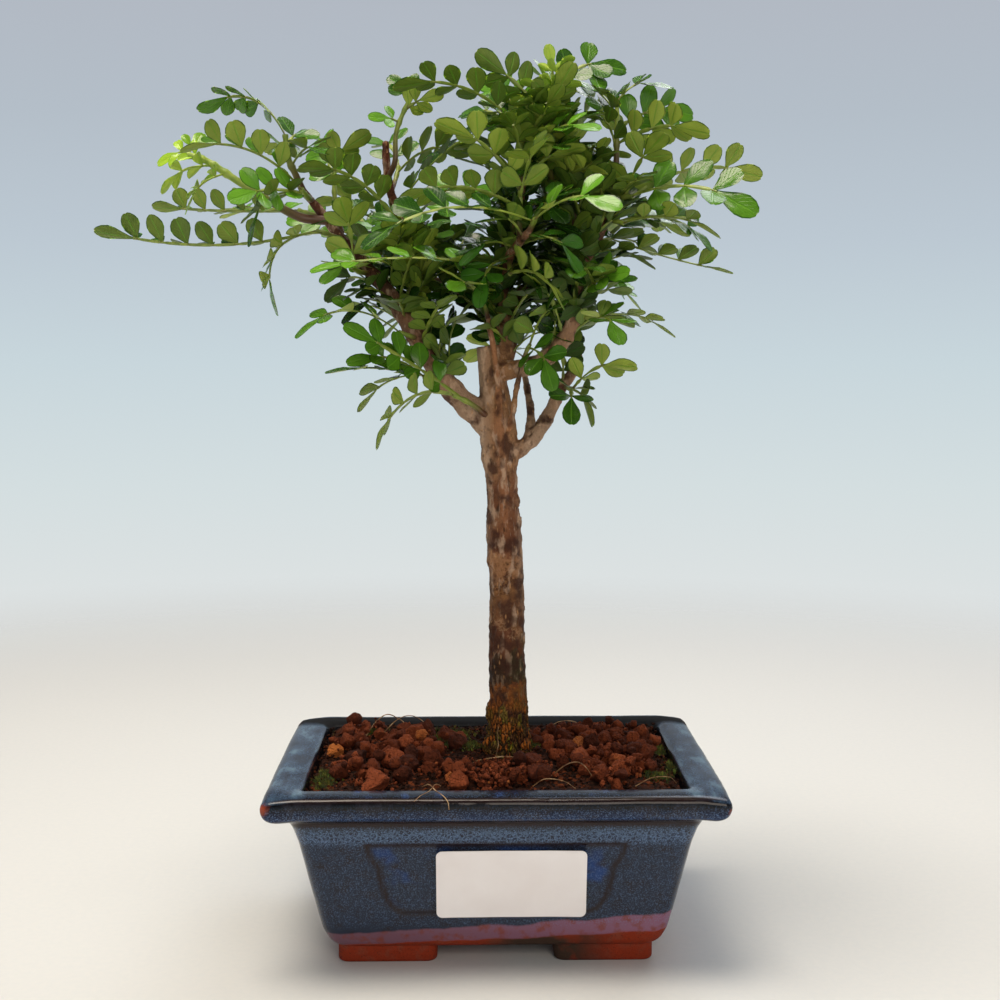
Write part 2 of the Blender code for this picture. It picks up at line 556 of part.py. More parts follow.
def grit_sheet(middle, reach):
    """The fine grit under a bed of gravel: a low plate that follows the soil."""
    rings = []
    for share, rise in GRIT_SECTION:
        ring = []
        for turn in turns(GRIT_SIDES):
            x = middle[0] + reach[0] * share * math.cos(turn)
            y = middle[1] + reach[1] * share * math.sin(turn)
            ring.append(Vector((x, y, soil_height(x, y) + rise * MM)))
        rings.append(ring)
    return loft(rings)


def stone(draw, centre, radius):
    """A lump of lava: a block with uneven corners, turned any way."""
    turn = Quaternion(draw.normal(size=4)).normalized()
    ring = [(-1, -1), (1, -1), (1, 1), (-1, 1)]
    rings = []
    for height in (-1, 1):
        corners = [
            Vector((x, y, height)).normalized() * radius * draw.uniform(*STONE_CORNERS) for x, y in ring]
        rings.append([centre + turn @ corner for corner in corners])
    return loft(rings)


def make_gravel(soil, finish):
    draw = np.random.default_rng(11)
    raised = add_object("soil_cutter", applied(soil))
    raised.location.z = GAP
    basin = add_object("basin_cutter", loft([
        pot_ring(MOUTH_INSET + 2 * GAP, height, BASIN_CORNER)
        for height in (SOIL_EDGE - BASIN_DEPTH, 2 * POT_HEIGHT)
    ]))
    for name, *place in GRAVEL_BEDS:
        middle, reach = np.array(place[:2]) * MM, np.array(place[2:]) * MM
        pieces = [grit_sheet(middle, reach)]
        row_height = GRAVEL_SPACING * math.sqrt(3) / 2
        rows = int(reach[1] / row_height)
        for row in range(-rows, rows + 1):
            y = row * row_height
            half = reach[0] * math.sqrt(max(0, 1 - (y / reach[1]) ** 2)) - GRAVEL_MARGIN * GRAVEL_SPACING
            columns = int(half / GRAVEL_SPACING)
            shift = GRAVEL_STAGGER * GRAVEL_SPACING * (-1) ** row
            for column in range(-columns, columns + 1):
                x = column * GRAVEL_SPACING + shift
                spot = middle + np.array((x, y)) + draw.uniform(-1, 1, 2) * GRAVEL_SHIFT
                radius = GRAVEL_RADIUS * draw.uniform(*GRAVEL_UNEVEN)
                if math.hypot(*(spot - np.array(TRUNK_FOOT.xy))) < GRAVEL_CLEARING + radius:
                    continue
                height = soil_height(*spot) + STONE_SEAT * radius
                pieces.append(stone(draw, Vector((*spot, height)), radius))
        bed = fuse(name, pieces, finish, "MANIFOLD")
        boolean(bed, "DIFFERENCE", raised, "MANIFOLD")
        boolean(bed, "INTERSECT", basin, "MANIFOLD")
        lying = without_scraps(applied(bed))
        bed.modifiers.clear()
        bed.data = lying
    bpy.data.objects.remove(raised)
    bpy.data.objects.remove(basin)


# Wood


def make_wood(finish):
    path = [to_metres((x, 0, height)) for x, height, _ in TRUNK]
    rings = tube_rings(path, [radius * MM for _, _, radius in TRUNK], TRUNK_SIDES)
    for index, (centre, ring) in enumerate(zip(path, rings)):
        if FIRST_UNEVEN_RING <= index < len(rings) - 1:
            for side, turn in enumerate(turns(TRUNK_SIDES)):
                swell = TRUNK_SWELL * math.sin(SWELL_TURNS[1] * index + SWELL_TURNS[0] * turn)
                ring[side] = centre + (ring[side] - centre) * (1 + swell)
    pieces = [loft(rings)]
    for _, start, end, sides, points in LIMBS:
        route = [to_metres(point) for point in points]
        shares = [index / (len(route) - 1) for index in range(len(route))]
        widths = [(start + (end - start) * share ** LIMB_TAPER) * MM for share in shares]
        pieces.append(loft(tube_rings(route, widths, sides)))
    wood = fuse("trunk", pieces, finish)
    shade_round(wood.data)
    return wood


# Leaves


def leaf_frame(base, tip, arch, roll):
    """The rib's curve, its length, and its side and upward directions, with roll."""
    chord = tip - base
    forward = chord.normalized()
    side = Vector((0, 0, 1)).cross(forward)
    side = side.normalized() if side.length > 0.05 else Vector((1, 0, 0))
    bend = (base + tip) / 2 + 2 * arch * forward.cross(side)
    length = chord.length * (1 + SHALLOW_ARC * (arch / chord.length) ** 2)
    side = Quaternion(forward, roll) @ side

    def at(distance):
        """Place, forward, left and up on the rib at this distance from its base."""
        t = distance / length
        place = base * (1 - t) ** 2 + bend * 2 * t * (1 - t) + tip * t ** 2
        ahead = ((bend - base) * (1 - t) + (tip - bend) * t).normalized()
        left = (side - ahead * side.dot(ahead)).normalized()
        return place, ahead, left, ahead.cross(left)

    return at, length


def leaf_pairs(length, pairs, size):
    """Where the pairs stand along the rib, how long a leaflet is, and where the rib ends."""
    rib = length - END_LEAFLET * size
    first = RIB_BARE * rib
    spacing = (rib - LAST_PAIR_ROOM - first) / max(pairs - 1, 1)
    if pairs == 1:
        first = ONE_PAIR * rib
    size = min(size, spacing / FEWEST_SPACING) if pairs > 1 else size
    return [first + spacing * index for index in range(pairs)], size, rib


def leaf_shape(base, tip, pairs, arch, roll, fold, size, grow=0.0, start=0.0):
    """A feathered leaf as one arched blade cut to the rib, split alike on both faces."""
    at, length = leaf_frame(base, tip, arch, roll)
    places, leaflet, rib = leaf_pairs(length, pairs, size)
    start = min(start, places[0] - 2 * ROOT_HALF)
    half = BLADE_THICKNESS / 2 + grow
    points, offsets, triangles = [], [], []

    def add(point, normal):
        points.append(point)
        offsets.append(normal * half)
        return len(points) - 1

    def edge(distance, tilt=0.0):
        place, _, left, up = at(distance)
        lift = 1 / math.cos(tilt / 2)
        return [
            add(place + hand * left * (RIB_HALF_WIDTH + grow),
                (up * math.cos(tilt / 2) - hand * left * math.sin(tilt / 2)) * lift)
            for hand in (-1, 1)
        ]

    def strip(near, far):
        triangles.extend([(near[0], far[0], far[1]), (near[0], far[1], near[1])])

    sides = [], []
    last = edge(start)
    for hand in (0, 1):
        sides[hand].append(last[hand])
    for distance in places:
        near, far = edge(distance - ROOT_HALF, fold), edge(distance + ROOT_HALF, fold)
        strip(last, near)
        strip(near, far)
        place, ahead, left, up = at(distance)
        for hand, sign in ((0, -1), (1, 1)):
            outward = sign * left * math.cos(fold) + up * math.sin(fold)
            along = ahead * math.cos(LEAFLET_ANGLE) + outward * math.sin(LEAFLET_ANGLE)
            across = ahead * math.sin(LEAFLET_ANGLE) - outward * math.cos(LEAFLET_ANGLE)
            normal = sign * ahead.cross(outward)
            widest = place + along * leaflet * LEAFLET_WIDEST
            reach = across * (leaflet * LEAFLET_HALF_WIDTH + grow)
            a, e = near[hand], far[hand]
            b = add(widest - reach, normal)
            c = add(place + along * (leaflet + grow), normal)
            d = add(widest + reach, normal)
            fan = [(a, b, d), (b, c, d), (a, d, e)]
            triangles.extend(fan if sign < 0 else [tuple(reversed(face)) for face in fan])
            sides[hand].extend([a, b, c, d, e])
        last = far
    end = edge(rib)
    strip(last, end)
    place, _, left, up = at(rib + (length - rib) * LEAFLET_WIDEST)
    reach = left * (END_LEAFLET * leaflet * END_LEAFLET_HALF_WIDTH + grow)
    b, d = add(place - reach, up), add(place + reach, up)
    c = add(tip + grow * at(length)[1], at(length)[3])
    triangles.extend([(end[0], b, d), (b, c, d), (end[0], d, end[1])])
    outline = [*sides[0], end[0], b, c, d, end[1], *reversed(sides[1])]

    count = len(points)
    both = [p + o for p, o in zip(points, offsets)] + [p - o for p, o in zip(points, offsets)]
    faces = list(triangles)
    faces += [tuple(count + corner for corner in reversed(face)) for face in triangles]
    for one, other in zip(outline, outline[1:] + outline[:1]):
        faces.append((count + one, count + other, other, one))
    return both, faces


def swung(base, tip, turn):
    """The tip after the leaf has swung about its base, each turn a little further out."""
    chord = tip - base
    round_chord = Quaternion(chord.normalized(), GOLDEN_ANGLE * turn)
    hinge = round_chord @ chord.orthogonal().normalized()
    return base + Quaternion(hinge, SWING * math.sqrt(turn)) @ chord


def stem_shape(path, radius, room=0.0):
    """A stem that narrows to its tip, and is a little thinner where it starts."""
    radii = [radius * (1 - STEM_TAPER * i / (len(path) - 1)) + room for i in range(len(path))]
    radii[0] -= STEM_WAIST * radius
    return loft_shape(tube_rings(path, radii, STEM_SIDES))


def seated_stem(points, radius, wood):
    """A stem that starts just clear of the wood: the path of its middle, and its shape."""
    inward = (points[0] - points[1]).normalized()
    hit = wood.ray_cast(points[1], inward)[0] or points[0]
    for step in range(MOST_SEAT_STEPS):
        start = hit - inward * (GAP + step * SEAT_STEP)
        path = [start, *points[1:]]
        shape = stem_shape(path, radius)
        clear = all(wood.find_nearest(point)[3] >= GAP for point in shape[0])
        if clear and not BVHTree.FromPolygons(*shape).overlap(wood):
            return path, shape
    raise ValueError(f"no seat for the stem at {tuple(points[0])}")


def stem_point(path, share):
    lengths = [(b - a).length for a, b in zip(path, path[1:])]
    left = share * sum(lengths)
    for start, end, length in zip(path, path[1:], lengths):
        if left <= length:
            return start.lerp(end, left / length)
        left -= length
    return path[-1].copy()


def clear_tip(base, tip, form, others, most):
    """The tip after the fewest turns that leave the whole leaf clear of the others."""
    for turn in range(most):
        place = swung(base, tip, turn)
        leaf = BVHTree.FromPolygons(*leaf_shape(base, place, *form, grow=GAP))
        if not crosses(leaf, others):
            return place
    return None


def make_shoots(wood, finish, young_finish):
    """Stems first. Then each leaf swings until it is clear of all that was made before it."""
    stems = {}
    for name, radius, _, points, _ in SHOOTS:
        path, shape = seated_stem([to_metres(point) for point in points], radius * MM, wood)
        tree = BVHTree.FromPolygons(*shape)
        for other in stems:
            if tree.overlap(stems[other][2]):
                raise ValueError(f"the stems of {name} and {other} cross")
        stems[name] = path, shape, BVHTree.FromPolygons(*stem_shape(path, radius * MM, STEM_ROOM))
    leaves_made = []
    for name, _, bare, points, leaves in SHOOTS:
        stem = [to_metres(point) for point in points]
        path, shape, _ = stems[name]
        taken = [wood, *leaves_made, *(stems[other][2] for other in stems if other != name)]
        pieces = [mesh_of(*shape)]
        own = []
        for index, (tip, pairs, arch, roll, fold, size) in enumerate(leaves):
            base = stem_point(stem, bare + (LAST_BASE - bare) * (index + 1) / len(leaves))
            form = pairs, arch * MM, math.radians(roll), math.radians(fold), size * MM
            place = clear_tip(base, to_metres(tip), form, taken + own, MOST_OWN_SWINGS)
            place = place or clear_tip(base, to_metres(tip), form, taken, MOST_SWINGS)
            if not place:
                raise ValueError(f"{name}: leaf {index} finds no room")
            own.append(BVHTree.FromPolygons(*leaf_shape(base, place, *form, start=STEM_REACH)))
            pieces.append(mesh_of(*leaf_shape(base, place, *form)))
        shoot = fuse(name, pieces, young_finish if "young" in name else finish)
        leaves_made.append(tree_of(shoot.data))


def main():
    for obj in list(bpy.data.objects):
        bpy.data.objects.remove(obj)
    make_pot(material("glazed stoneware", (0.028, 0.055, 0.12), 0.18))
    make_nets(material("polythene net", (0.02, 0.02, 0.02), 0.5))
    make_label(material("label paper", (0.82, 0.8, 0.8), 0.4))
    soil = make_soil(material("potting soil", (0.03, 0.018, 0.012), 0.95))
    make_gravel(soil, material("lava gravel", (0.2, 0.07, 0.035), 0.9))
    trunk = make_wood(material("bark", (0.28, 0.18, 0.11), 0.8))
    make_shoots(
        tree_of(trunk.data),
        material("leaf", (0.06, 0.17, 0.02), 0.35),
        material("young leaf", (0.3, 0.5, 0.06), 0.4),
    )
    stand = bpy.data.objects.new("bonsai", None)
    bpy.context.scene.collection.objects.link(stand)
    bpy.context.view_layer.update()
    graph = bpy.context.evaluated_depsgraph_get()
    pieces = [obj for obj in bpy.data.objects if obj.type == "MESH"]
    corners = []
    for obj in pieces:
        if not obj.hide_render:
            corners += [obj.matrix_world @ Vector(corner) for corner in obj.evaluated_get(graph).bound_box]
    corners = np.array(corners)
    middle = (corners.min(axis=0) + corners.max(axis=0)) / 2
    for obj in pieces:
        obj.parent = stand
    stand.location = (-middle[0], -middle[1], 0)


main()
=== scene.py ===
"""The looks of a small Chinese pepper tree in its glazed pot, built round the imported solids.

Places in the tables are millimetres from the middle of the pot on its table.
"""

import json
import math
from functools import partial

import bmesh
import bpy
import numpy as np
from mathutils import Matrix, Quaternion, Vector, noise

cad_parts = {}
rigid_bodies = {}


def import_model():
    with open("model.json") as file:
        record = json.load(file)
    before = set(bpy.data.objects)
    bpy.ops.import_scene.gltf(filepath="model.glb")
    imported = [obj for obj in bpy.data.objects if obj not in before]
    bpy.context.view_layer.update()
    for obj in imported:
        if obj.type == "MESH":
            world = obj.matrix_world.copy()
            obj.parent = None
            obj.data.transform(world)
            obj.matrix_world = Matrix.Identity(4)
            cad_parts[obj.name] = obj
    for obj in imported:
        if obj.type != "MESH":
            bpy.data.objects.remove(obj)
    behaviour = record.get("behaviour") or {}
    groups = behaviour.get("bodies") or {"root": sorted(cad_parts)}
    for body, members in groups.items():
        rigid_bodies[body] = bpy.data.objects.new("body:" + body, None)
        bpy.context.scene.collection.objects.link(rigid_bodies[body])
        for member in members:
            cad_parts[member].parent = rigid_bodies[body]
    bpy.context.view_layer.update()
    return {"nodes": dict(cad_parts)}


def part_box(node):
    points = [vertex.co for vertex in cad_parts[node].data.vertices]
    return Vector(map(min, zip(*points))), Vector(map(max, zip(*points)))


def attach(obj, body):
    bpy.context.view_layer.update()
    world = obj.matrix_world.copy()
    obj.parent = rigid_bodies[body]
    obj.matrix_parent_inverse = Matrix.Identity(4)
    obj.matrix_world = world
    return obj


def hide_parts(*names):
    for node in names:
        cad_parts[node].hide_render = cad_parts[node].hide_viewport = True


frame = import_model()

# The pot
# Red stoneware pressed in a mould: flared lip, a sunk panel front and back, four feet. It was
# dipped in a blue rutile glaze that stops above the feet, with a mauve band where it runs thin.

MM = 0.001
POT_LOW, POT_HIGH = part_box("pot")
POT_MIDDLE = Vector(((POT_LOW.x + POT_HIGH.x) / 2, (POT_LOW.y + POT_HIGH.y) / 2, POT_LOW.z))
POT_HALF_X = (POT_HIGH.x - POT_LOW.x) / 2 / MM
POT_HALF_Y = (POT_HIGH.y - POT_LOW.y) / 2 / MM
POT_TOP = (POT_HIGH.z - POT_LOW.z) / MM

# Section of the wall: inset behind the edge of the rim, height, corner radius
POT_OUTSIDE = [
    (21, 6, 6), (19.5, 7.2, 6), (17.4, 12, 6), (17.2, 13, 6), (10.8, 43, 6), (9, 48.6, 6), (8, 51, 5),
    (7.4, 52.4, 4.4), (5.6, 53, 3.6), (3.2, 53.7, 2.6), (1.5, 55, 2.2), (0.6, 56.6, 2), (0.1, 58.4, 2),
    (0.1, 60.2, 2), (0.7, 61.4, 2.2), (2.2, 61.9, 2.8), (6, 62.1, 3.2), (10.4, 61.9, 3.4),
    (12.2, 61, 3.4), (13, 58.5, 4),
]
POT_INSIDE = [(16.8, 43, 5), (22.8, 15, 5), (23.4, 13, 5), (25.4, 12, 5)]
WALL_FOOT_INSET = 17.2  # the flat wall leans from here
WALL_HEAD_INSET = 10.8  # to here
WALL_FOOT = 13
WALL_HEAD = 43
SIDE_STEPS = (56, 100)  # along a short and a long side
CORNER_STEPS = 7
FOOT_SIZE = (33, 24, 6)
FOOT_CORNER = 3.2
FOOT_EDGE = [(1.2, 0), (0.5, 0.15), (0.15, 0.6), (0, 1.3)]  # inset and height of its worn lower edge
FOOT_PLACE = (36, 22.4)
DRAIN_PLACE = 24
DRAIN_RADIUS = 5
DRAIN_CUT = (0, 20)  # the cutter's lower and upper end
DRAIN_SIDES = 32
PANEL_HALF = [(42, 43.5), (40.5, 38.5), (38, 35), (37.5, 30), (36, 24.5), (33.5, 20.7), (30, 19)]
PANEL_SINK = 0.8
PANEL_REACH = 18  # the flat wall's half height, as far as the panel goes
BARE_SPOTS = [(-75, -56, 58.6, 2.4), (75, -56, 57, 1.4)]  # worn through to the clay: place and radius
PANEL_LINE = 0.85  # half width of the thin line round the panel
# Height at the pot's middle, and rise to the right, of the lines where the blue and the mauve end
GLAZE_LINE = (14.4, 0.064)
CLAY_LINE = (9.2, 0.05)
LINE_WANDER = 4
INSIDE_INSET = 12.1  # the wall's inner face starts here, behind the edge of the rim
CORNER_DROOP = 0.9  # the lip sank at its corners in the kiln
LIP_FOOT = 52


def place(point):
    """A point in millimetres from the pot's middle, in the frame."""
    return POT_MIDDLE + Vector(point) * MM


def solid(points, faces):
    """A mesh with its place in its points, which are in millimetres from the pot's middle."""
    mesh = bpy.data.meshes.new("shape")
    mesh.from_pydata((np.array(points, float) * MM + np.array(POT_MIDDLE)).tolist(), [], faces)
    return mesh


def loft(rings):
    """Points and faces of a closed solid through rings of as many points, anticlockwise."""
    sides = len(rings[0])
    points = [point for ring in rings for point in ring]
    faces = [list(reversed(range(sides)))]
    for start in range(0, len(points) - sides, sides):
        for side in range(sides):
            beside = (side + 1) % sides
            faces.append((start + side, start + beside, start + sides + beside, start + sides + side))
    faces.append(list(range(len(points) - sides, len(points))))
    return points, faces


def rounded_rectangle(half_x, half_y, radius, height, side_steps, corner_steps):
    """A level ring of points. It has steps for the short sides, the long ones and each corner."""
    ring = []
    for side in range(4):
        reach, width = (half_x, half_y) if side % 2 == 0 else (half_y, half_x)
        steps = side_steps[side % 2]
        straight = width - radius
        run = [(reach, straight * (2 * step / steps - 1)) for step in range(steps)]
        for step in range(corner_steps):
            angle = math.pi / 2 * step / corner_steps
            run.append((reach - radius + radius * math.cos(angle), straight + radius * math.sin(angle)))
        across, along = [(1, 0), (0, 1), (-1, 0), (0, -1)][side]
        ring += [(x * across - y * along, x * along + y * across, height) for x, y in run]
    return ring


def circle(middle, radius, height, sides):
    """A level ring of points round a middle."""
    x, y = middle
    turns = [math.tau * side / sides for side in range(sides)]
    return [(x + radius * math.cos(turn), y + radius * math.sin(turn), height) for turn in turns]


def linear(colour):
    """Linear red, green, blue and alpha of an sRGB hex colour."""
    parts = [int(colour[start:start + 2], 16) / 255 for start in (1, 3, 5)]
    return (*(part / 12.92 if part <= 0.04045 else ((part + 0.055) / 1.055) ** 2.4 for part in parts), 1)


def feed(node, inputs):
    """Gives a node's inputs their values, or links them to sockets or to the first output of nodes."""
    for name, value in inputs.items():
        if isinstance(value, bpy.types.Node):
            value = next(output for output in value.outputs if output.enabled)
        if isinstance(value, bpy.types.NodeSocket):
            node.id_data.links.new(value, node.inputs[name])
        else:
            node.inputs[name].default_value = linear(value) if str(value).startswith("#") else value


def add_node(tree, kind, inputs=None, stops=None, **settings):
    """A shader or geometry node with its settings, what feeds it, and a colour ramp's stops."""
    node = tree.nodes.new(("ShaderNode" if tree.type == "SHADER" else "GeometryNode") + kind)
    for name, value in settings.items():
        setattr(node, name, value)
    feed(node, inputs or {})
    for index, (position, value) in enumerate(stops or []):
        while len(node.color_ramp.elements) <= index:
            node.color_ramp.elements.new(1)
        node.color_ramp.elements[index].position = position
        node.color_ramp.elements[index].color = linear(value) if isinstance(value, str) else (*[value] * 3, 1)
    return node


def finish(name):
    """A new material with only its shader and output: the material, what adds its nodes, and the shader."""
    made = bpy.data.materials.new(name)
    made.use_nodes = True
    return made, partial(add_node, made.node_tree), made.node_tree.nodes["Principled BSDF"]


def coated(add, colour, coats):
    """A colour under coats. A coat has what it follows, perhaps start, end and strength, and its colour."""
    for cover, span, over in coats:
        if span:
            cover = add("MapRange", {0: cover, 1: span[0], 2: span[1], 4: span[2]})
        colour = add("Mix", {0: cover, 6: colour, 7: over}, data_type="RGBA")
    return colour


def put(name, data):
    """A new object in the scene."""
    made = bpy.data.objects.new(name, data)
    bpy.context.scene.collection.objects.link(made)
    return made


def worked(body):
    """The mesh that an object's modifiers make of it. The object is removed."""
    made = bpy.data.meshes.new_from_object(body.evaluated_get(bpy.context.evaluated_depsgraph_get()))
    bpy.data.objects.remove(body)
    return made


def drawn(name, shape):
    """The mesh of a bmesh, which is freed."""
    mesh = bpy.data.meshes.new(name)
    shape.to_mesh(mesh)
    shape.free()
    return mesh


def piece(name, mesh, material, slot, *nodes, angle=50):
    """A finished object that rides on the frame in place of the CAD nodes named."""
    made = put(name, mesh)
    if material:
        mesh.materials.clear()
        mesh.materials.append(material)
    mesh.shade_smooth()
    mesh.set_sharp_from_angle(angle=math.radians(angle))
    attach(made, "root")
    if nodes:
        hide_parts(*nodes)


def boolean(mesh, others, operation):
    """The mesh after a union with, or a cut by, closed meshes."""
    body = put("body", mesh)
    helpers = bpy.data.collections.new("helpers")
    bpy.context.scene.collection.children.link(helpers)
    for other in others:
        helpers.objects.link(bpy.data.objects.new("helper", other))
    step = body.modifiers.new("step", "BOOLEAN")
    step.operation = operation
    step.operand_type = "COLLECTION"
    step.collection = helpers
    step.solver = "MANIFOLD"
    made = worked(body)
    for helper in list(helpers.objects):
        bpy.data.objects.remove(helper)
    bpy.data.collections.remove(helpers)
    return made


def divided(keys, step, passes):
    """The keys with points between them no further apart than the step, then rounded off."""
    path = [np.array(keys[0], float)]
    for start, end in zip(keys, keys[1:]):
        start, end = np.array(start, float), np.array(end, float)
        count = max(1, round(np.linalg.norm(end[:2] - start[:2]) / step))
        path += [start + (end - start) * (index + 1) / count for index in range(count)]
    path = np.array(path)
    for _ in range(passes):
        path[1:-1] = (path[:-2] + 2 * path[1:-1] + path[2:]) / 4
    return path


def away_from(outline, points):
    """How far each point is from a closed outline, below 0 inside it."""
    starts = np.array(outline, float)
    ends = np.roll(starts, -1, axis=0)
    best = np.full(len(points), 1e9)
    inside = np.zeros(len(points), bool)
    for start, end in zip(starts, ends):
        along = end - start
        share = np.clip(((points - start) @ along) / (along @ along), 0, 1)
        best = np.minimum(best, np.linalg.norm(points - start - share[:, None] * along, axis=1))
        crosses = (start[1] > points[:, 1]) != (end[1] > points[:, 1])
        rise = along[1] if along[1] else 1e-9
        inside ^= crosses & (points[:, 0] < start[0] + (points[:, 1] - start[1]) * along[0] / rise)
    return np.where(inside, -best, best)


def smooth_step(low, high, value):
    share = np.clip((value - low) / (high - low), 0, 1)
    return share * share * (3 - 2 * share)


PANEL = [*PANEL_HALF, *((-x, z) for x, z in reversed(PANEL_HALF))]


def wall_face(heights):
    """How far the flat front wall stands from the pot's middle at each height."""
    rise = (heights - WALL_FOOT) / (WALL_HEAD - WALL_FOOT)
    return POT_HALF_Y - WALL_FOOT_INSET + (WALL_FOOT_INSET - WALL_HEAD_INSET) * rise


def pot_mesh():
    section = np.vstack([divided(POT_OUTSIDE, 0.9, 2), divided(POT_INSIDE, 4, 0)])
    rings = [
        rounded_rectangle(POT_HALF_X - inset, POT_HALF_Y - inset, radius, height, SIDE_STEPS, CORNER_STEPS)
        for inset, height, radius in section
    ]
    points, faces = loft(rings)
    points = np.array(points)
    on_wall = (np.abs(points[:, 2] - (WALL_FOOT + WALL_HEAD) / 2) < PANEL_REACH) & (
        np.abs(points[:, 1]) > wall_face(points[:, 2]) - 1.5)
    depth = PANEL_SINK * smooth_step(0.7, -0.7, away_from(PANEL, points[:, [0, 2]])) * on_wall
    points[:, 1] -= np.sign(points[:, 1]) * depth
    for index, point in enumerate(points):
        uneven = noise.noise(Vector(point) * 0.045) * 0.35 + noise.noise(Vector(point) * 0.2) * 0.08
        outward = Vector((point[0], point[1], 0)).normalized()
        if point[2] > FOOT_SIZE[2] + 1:
            points[index] += outward * uneven * 0.8
            from_corner = math.hypot(POT_HALF_X - abs(point[0]), POT_HALF_Y - abs(point[1]))
            points[index][2] -= CORNER_DROOP * float(smooth_step(12, 1, from_corner)) * (point[2] > LIP_FOOT)
            points[index][2] += 0.5 * uneven * (point[2] > WALL_HEAD)
    feet = []
    for right in (-1, 1):
        for back in (-1, 1):
            foot = [
                rounded_rectangle(
                    FOOT_SIZE[0] / 2 - inset, FOOT_SIZE[1] / 2 - inset, FOOT_CORNER, height, (6, 8), 6)
                for inset, height in (*FOOT_EDGE, (0, FOOT_SIZE[2] + 1))
            ]
            centre = np.array((right * FOOT_PLACE[0], back * FOOT_PLACE[1], 0))
            feet.append(solid(*loft([[centre + point for point in ring] for ring in foot])))
    drains = [
        solid(*loft([circle((middle, 0), DRAIN_RADIUS, height, DRAIN_SIDES) for height in DRAIN_CUT]))
        for middle in (-DRAIN_PLACE, DRAIN_PLACE)
    ]
    return boolean(boolean(solid(points, faces), feet, "UNION"), drains, "DIFFERENCE")


def set_numbers(mesh, name, values):
    """Gives each point of a mesh a number that a material can read."""
    mesh.attributes.new(name, "FLOAT", "POINT").data.foreach_set("value", np.asarray(values, np.float32))


def places_of(mesh):
    """The mesh's points in millimetres from the pot's middle."""
    points = np.empty(len(mesh.vertices) * 3, np.float32)
    mesh.vertices.foreach_get("co", points)
    return (points.reshape(-1, 3) - np.array(POT_MIDDLE)) / MM


def mark_glaze(mesh):
    """Where the glaze runs thin, where the panel and the inner face are, and where bare clay shows."""
    points = places_of(mesh)
    x, y, z = points.T
    inset = np.minimum(POT_HALF_X - np.abs(x), POT_HALF_Y - np.abs(y))
    on_wall = (np.abs(y) > wall_face(z) - 1.8) & (z > 15) & (z < 47)
    from_panel = away_from(PANEL, points[:, [0, 2]])
    panel_edge = np.exp(-(from_panel / PANEL_LINE) ** 2) * on_wall
    lip_edge = smooth_step(60.4, 61.2, z) * smooth_step(2.6, 1.4, inset)
    neck = smooth_step(50.0, 51.4, z) * smooth_step(54.2, 53.2, z) * smooth_step(1.4, 3, inset) * 0.7
    bare = np.zeros(len(points))
    for *spot, radius in BARE_SPOTS:
        away = np.linalg.norm(points - spot, axis=1)
        bare = np.maximum(bare, smooth_step(radius * 1.3, radius * 0.7, away))
    for name, values in (
        ("thin", np.clip(panel_edge + lip_edge + neck, 0, 1)),
        ("panel", smooth_step(1, -4, from_panel) * on_wall),
        ("inside", smooth_step(INSIDE_INSET - 0.5, INSIDE_INSET + 0.5, inset) * (z > WALL_HEAD + 1)),
        ("bare", bare),
    ):
        set_numbers(mesh, name, values)


